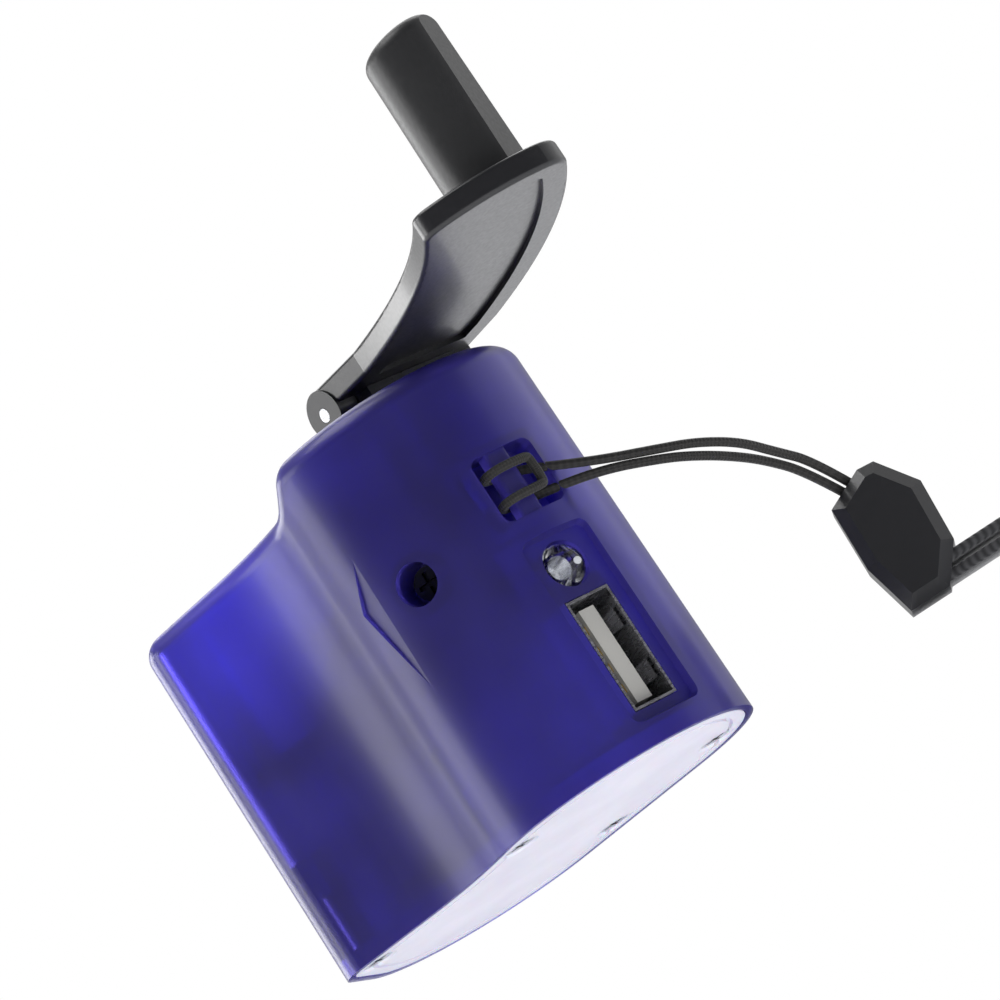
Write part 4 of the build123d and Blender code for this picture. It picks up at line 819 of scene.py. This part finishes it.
# ------------------------------------------------------------------ lanyard
@dataclass
class Lanyard:
    """The doubled cord, its end piece and the wrist strap.

    Attributes:
        column: the directions of the window that the cord is hitched in.
        cord_d: the cord's diameter.
        window_z: the window's middle height in mm.
        half_hitch: the height of each turn round the bar above or below it, in mm.
        bar_sides, bar_depths: where the turns pass the bar, in mm along the wall and from the
            nose's centre.
        upper, lower: the two strands' points in mm, from the window to the end piece.
        cap_at: the end piece's place in plan, in mm.
        strap_way: the strap's direction in plan.
        strap_w, strap_t: the strap's width and thickness in mm.
        strap_low: the height of its underside in mm.
        strap_near, strap_far: its start and its far fold, in mm from the end piece.
    """

    wardrobe: Wardrobe
    column: Column = field(default_factory=Column)
    cord_d: float = 1.0 * MM
    window_z: float = 30.8
    half_hitch: float = 1.7
    bar_sides: tuple[float, float] = (-2.65, 1.75)
    bar_depths: tuple[float, float] = (13.5, 16.65)
    upper: Sequence[Point] = (
        (17.5, -5.8, 28.6), (22.5, -1.6, 26.4), (25.2, 1.6, 25.2), (27.6, 5.8, 23.3),
        (28.6, 10.5, 21.1), (29.9, 15.3, 18.7), (31.6, 19.3, 13.0),
    )
    lower: Sequence[Point] = (
        (17.5, -5.7, 27.5), (22.4, -1.7, 25.3), (24.4, 0.8, 24.1), (26.0, 5.1, 22.7),
        (27.2, 9.9, 21.1), (28.9, 14.9, 18.0), (30.7, 18.9, 12.4),
    )
    cap_at: tuple[float, float] = (6.3, 9.16)
    strap_way: tuple[float, float] = (0.9296, 0.3685)
    strap_w: float = 4.6
    strap_t: float = 1.1
    strap_low: float = 0.5
    strap_near: float = 28.6
    strap_far: float = 86.0

    def spot(self, side: float, height: float, distance: float) -> Point:
        """A point of the column in mm."""
        at = self.column.matrix(side, height, distance).translation / MM
        return (at.x, at.y, at.z)

    def hitch_points(self) -> list[Point]:
        """The cord's way from the upper strand round the bar and back to the lower strand."""
        low, high = self.window_z - self.half_hitch, self.window_z + self.half_hitch
        (left, right), (back, front) = self.bar_sides, self.bar_depths
        around = [(right, front), (left, front), (left, back), (right + 0.1, back)]
        upper = [self.spot(side, high, distance) for side, distance in reversed(around)]
        cross = [self.spot(right + 0.5, high - 0.3, front - 0.2),
                 self.spot(right + 0.5, low + 0.3, front - 0.2)]
        return upper + cross + [self.spot(side, low, distance) for side, distance in around]

    def make_cord(self) -> None:
        """Lays the cord as one smooth line from the end piece to the bar and back."""
        route = list(reversed(self.upper)) + self.hitch_points() + list(self.lower)
        data = bpy.data.curves.new("lanyard cord", "CURVE")
        data.dimensions = "3D"
        data.bevel_depth = self.cord_d / 2
        data.bevel_resolution = 5
        data.resolution_u = 10
        data.use_fill_caps = True
        spline = data.splines.new("NURBS")
        spline.points.add(len(route) - 1)
        for point, at in zip(spline.points, route):
            point.co = (*(Vector(at) * MM), 1)
        spline.order_u = 3
        spline.use_endpoint_u = True
        cord = bpy.data.objects.new("lanyard_cord_braid", data)
        bpy.context.scene.collection.objects.link(cord)
        self.wardrobe.dress(cord, Braid("braided cord", turns=120.0))
        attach(cord, "charger_body")
        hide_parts("lanyard_cord")

    def strap_path(self) -> list[Vector]:
        """The strap's line in the end piece's plane: out along the floor, round and back."""
        low, far = self.strap_low + self.strap_t / 2, self.strap_far
        high = self.strap_low + 2.8 - self.strap_t / 2
        straight = [self.strap_near, 42.0, 55.0, 68.0, far - 5.0]
        fold = [(far + 0.1, low - 0.1), (far + 1.9, (low + high) / 2), (far + 0.1, high + 0.1)]
        flat = [(u, low) for u in straight] + fold + [(u, high) for u in reversed(straight)]
        along = Vector((*self.strap_way, 0))
        return [Vector((*self.cap_at, 0)) + along * u + Vector((0, 0, z)) for u, z in flat]

    def make_strap(self) -> None:
        """Weaves the strap along its line, as a flat tape with rounded edges."""
        points = smooth_line([point * MM for point in self.strap_path()])
        way = Vector((*self.strap_way, 0))
        side = Vector((way.y, -way.x, 0))
        half, thick = self.strap_w / 2 * MM, self.strap_t / 2 * MM
        section = [(-half, -thick * 0.5), (-half * 0.9, -thick), (half * 0.9, -thick),
                   (half, -thick * 0.5), (half, thick * 0.5), (half * 0.9, thick),
                   (-half * 0.9, thick), (-half, thick * 0.5)]
        strap = add_object("wrist_strap_weave", sweep(points, section, side))
        smooth(strap, 60.0)
        length = sum((b - a).length for a, b in zip(points, points[1:]))
        self.wardrobe.dress(strap, Webbing("woven tape", rows=length / (0.9 * MM)))
        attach(strap, "charger_body")
        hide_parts("wrist_strap")

    def make(self) -> None:
        """Builds the lanyard."""
        self.make_cord()
        self.make_strap()
        LOG.info("lanyard laid")


# ------------------------------------------------------------------ socket and light
@dataclass
class SocketDetails:
    """The small parts that show inside the socket and the light.

    Attributes:
        column: the directions of the socket column.
        socket_z: the socket's middle height in mm.
        wall: the shell's inner wall, in mm to the side.
        front: the socket's front, in mm from the nose's centre.
        light_z: the light's height in mm.
        light_base: the foot of the light's dome, in mm from the nose's centre.
        finger_z: the fingers' heights from the socket's middle, in mm.
        finger_w, finger_l, finger_t: a finger's width, length and thickness in mm.
        finger_bow: how far its middle stands off the wall, in mm.
        cup_foot_r, cup_rim_r, cup_deep: the light's cup, in mm.
        post_r, post_foot: the light's posts and how far below its dome they start, in mm.
        posts: the place to the side and the length of the two posts, in mm.
    """

    wardrobe: Wardrobe
    column: Column = field(default_factory=Column)
    socket_z: float = 10.7
    wall: float = 2.52
    front: float = 14.9
    light_z: float = 21.0
    light_base: float = 11.9
    finger_z: Sequence[float] = (3.1, -3.1)
    finger_w: float = 2.3
    finger_l: float = 5.2
    finger_t: float = 0.22
    finger_bow: float = 0.55
    cup_foot_r: float = 0.55
    cup_rim_r: float = 1.0
    cup_deep: float = 0.45
    post_r: float = 0.25
    post_foot: float = 4.0
    posts: Sequence[tuple[float, float]] = ((-0.35, 5.0), (1.27, 5.9))

    def finger(self, height: float) -> bmesh.types.BMesh:
        """One sprung finger of the shell: a thin strip bowed away from the far wall.

        Args:
            height: the finger's middle height in mm.

        Returns:
            The strip as a closed mesh.
        """
        mesh = bmesh.new()
        bmesh.ops.create_grid(mesh, x_segments=10, y_segments=3, size=0.5)
        for vert in mesh.verts:
            run = vert.co.x + 0.5
            bow = math.sin(math.pi * run) ** 2 * self.finger_bow
            vert.co = Vector((-bow, vert.co.y * self.finger_w * (1 - 0.25 * run),
                              -0.7 - run * self.finger_l))
        strip = mesh.verts[:] + mesh.edges[:] + mesh.faces[:]
        bmesh.ops.solidify(mesh, geom=strip, thickness=self.finger_t)
        place = self.column.matrix(self.wall - self.finger_t, height, self.front)
        scale = Matrix.Diagonal((MM, MM, MM, 1))
        bmesh.ops.transform(mesh, matrix=place @ scale, verts=mesh.verts)
        return mesh

    def make_fingers(self) -> None:
        """Adds the two sprung fingers of the shell's far wall."""
        for number, height in enumerate(self.finger_z):
            finger = add_object(f"socket_finger_{number}", self.finger(self.socket_z + height))
            smooth(finger, 50.0)
            self.wardrobe.dress(finger, Finish.SHELL)
            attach(finger, "charger_body")

    def make_lamp_core(self) -> None:
        """Adds the cup and the two posts inside the clear light."""
        mesh = bmesh.new()
        cup = bmesh.ops.create_cone(mesh, cap_ends=True, cap_tris=False, segments=24,
                                    radius1=self.cup_foot_r, radius2=self.cup_rim_r, depth=1.0)
        top = max(mesh.faces, key=face_height)
        bmesh.ops.inset_individual(mesh, faces=[top], thickness=0.2, depth=-self.cup_deep)
        bmesh.ops.translate(mesh, verts=cup["verts"], vec=(self.posts[0][0], 0, 1.5))
        for x, long in self.posts:
            post = bmesh.ops.create_cone(mesh, cap_ends=True, cap_tris=False, segments=12,
                                         radius1=self.post_r, radius2=self.post_r, depth=long)
            at = (x, 0, long / 2 - self.post_foot)
            bmesh.ops.translate(mesh, verts=post["verts"], vec=at)
        place = self.column.matrix(0, self.light_z, self.light_base)
        bmesh.ops.transform(mesh, matrix=place @ Matrix.Diagonal((MM, MM, MM, 1)),
                            verts=mesh.verts)
        core = add_object("light_core", mesh)
        smooth(core)
        self.wardrobe.dress(core, Finish.STEEL)
        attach(core, "charger_body")

    def make(self) -> None:
        """Builds the small parts of the socket and the light."""
        self.make_fingers()
        self.make_lamp_core()
        LOG.info("socket and light detailed")


# ------------------------------------------------------------------ the charger's solids
FINISHES: dict[str, Finish] = {
    "housing": Finish.BLUE, "bottom_cover": Finish.WHITE, "cover_screws": Finish.STEEL,
    "gear_plate": Finish.FRAME, "plate_screws": Finish.DULL_STEEL, "axle_1": Finish.DULL_STEEL,
    "axle_2": Finish.DULL_STEEL, "roof_bush": Finish.BLACK, "lower_bush": Finish.BRONZE,
    "drive_gear": Finish.NYLON, "first_gear": Finish.NYLON, "second_gear": Finish.NYLON,
    "rotor_pinion": Finish.BRONZE, "crank_shaft": Finish.STEEL, "drive_pin": Finish.DULL_STEEL,
    "shaft_clip": Finish.DARK_STEEL, "generator_can": Finish.DULL_STEEL,
    "generator_end_cap": Finish.BLACK, "brushes": Finish.BRONZE,
    "generator_magnets": Finish.FERRITE, "rotor_shaft": Finish.DULL_STEEL,
    "armature": Finish.DARK_STEEL, "armature_coils": Finish.COPPER, "commutator": Finish.BRONZE,
    "generator_screws": Finish.DULL_STEEL, "usb_shell": Finish.SHELL,
    "usb_tongue": Finish.TONGUE, "usb_contacts": Finish.GOLD, "led": Finish.LENS,
    "led_leads": Finish.STEEL, "circuit_board": Finish.BOARD, "capacitor": Finish.COMPONENT,
    "inductor": Finish.COMPONENT, "regulator": Finish.COMPONENT, "diodes": Finish.COMPONENT,
    # The side screw's near-black steel is partly its own colour and partly painted shade in its
    # hole.
    "wire_red": Finish.RED, "wire_black": Finish.DARK, "side_screw": Finish.DARK_STEEL,
    "crank_hub": Finish.HUB, "hinge_pin": Finish.STEEL, "crank_arm": Finish.BLACK,
    "grip": Finish.GRIP, "grip_cap": Finish.GRIP, "grip_axle": Finish.STEEL,
    "lanyard_cap": Finish.BLACK, "lanyard_cord": Finish.BLACK, "wrist_strap": Finish.GRIP,
}


@dataclass
class Solids:
    """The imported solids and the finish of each.

    Attributes:
        wardrobe: the finishes.
        nodes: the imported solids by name.
        finishes: the finish of each solid.
    """

    wardrobe: Wardrobe
    nodes: dict[str, bpy.types.Object]
    finishes: dict[str, Finish] = field(default_factory=FINISHES.copy)

    def make(self) -> None:
        """Dresses every solid."""
        for name, finish in self.finishes.items():
            self.wardrobe.dress(self.nodes[name], finish)
        LOG.info("%d solids dressed", len(self.finishes))


def main() -> None:
    """Builds the charger and its studio."""
    logging.basicConfig(level=logging.INFO, format="%(name)s: %(message)s")
    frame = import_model()
    wardrobe = Wardrobe()
    Studio().make()
    Solids(wardrobe, frame["nodes"]).make()
    Lanyard(wardrobe).make()
    SocketDetails(wardrobe).make()


if __name__ == "__main__":
    main()
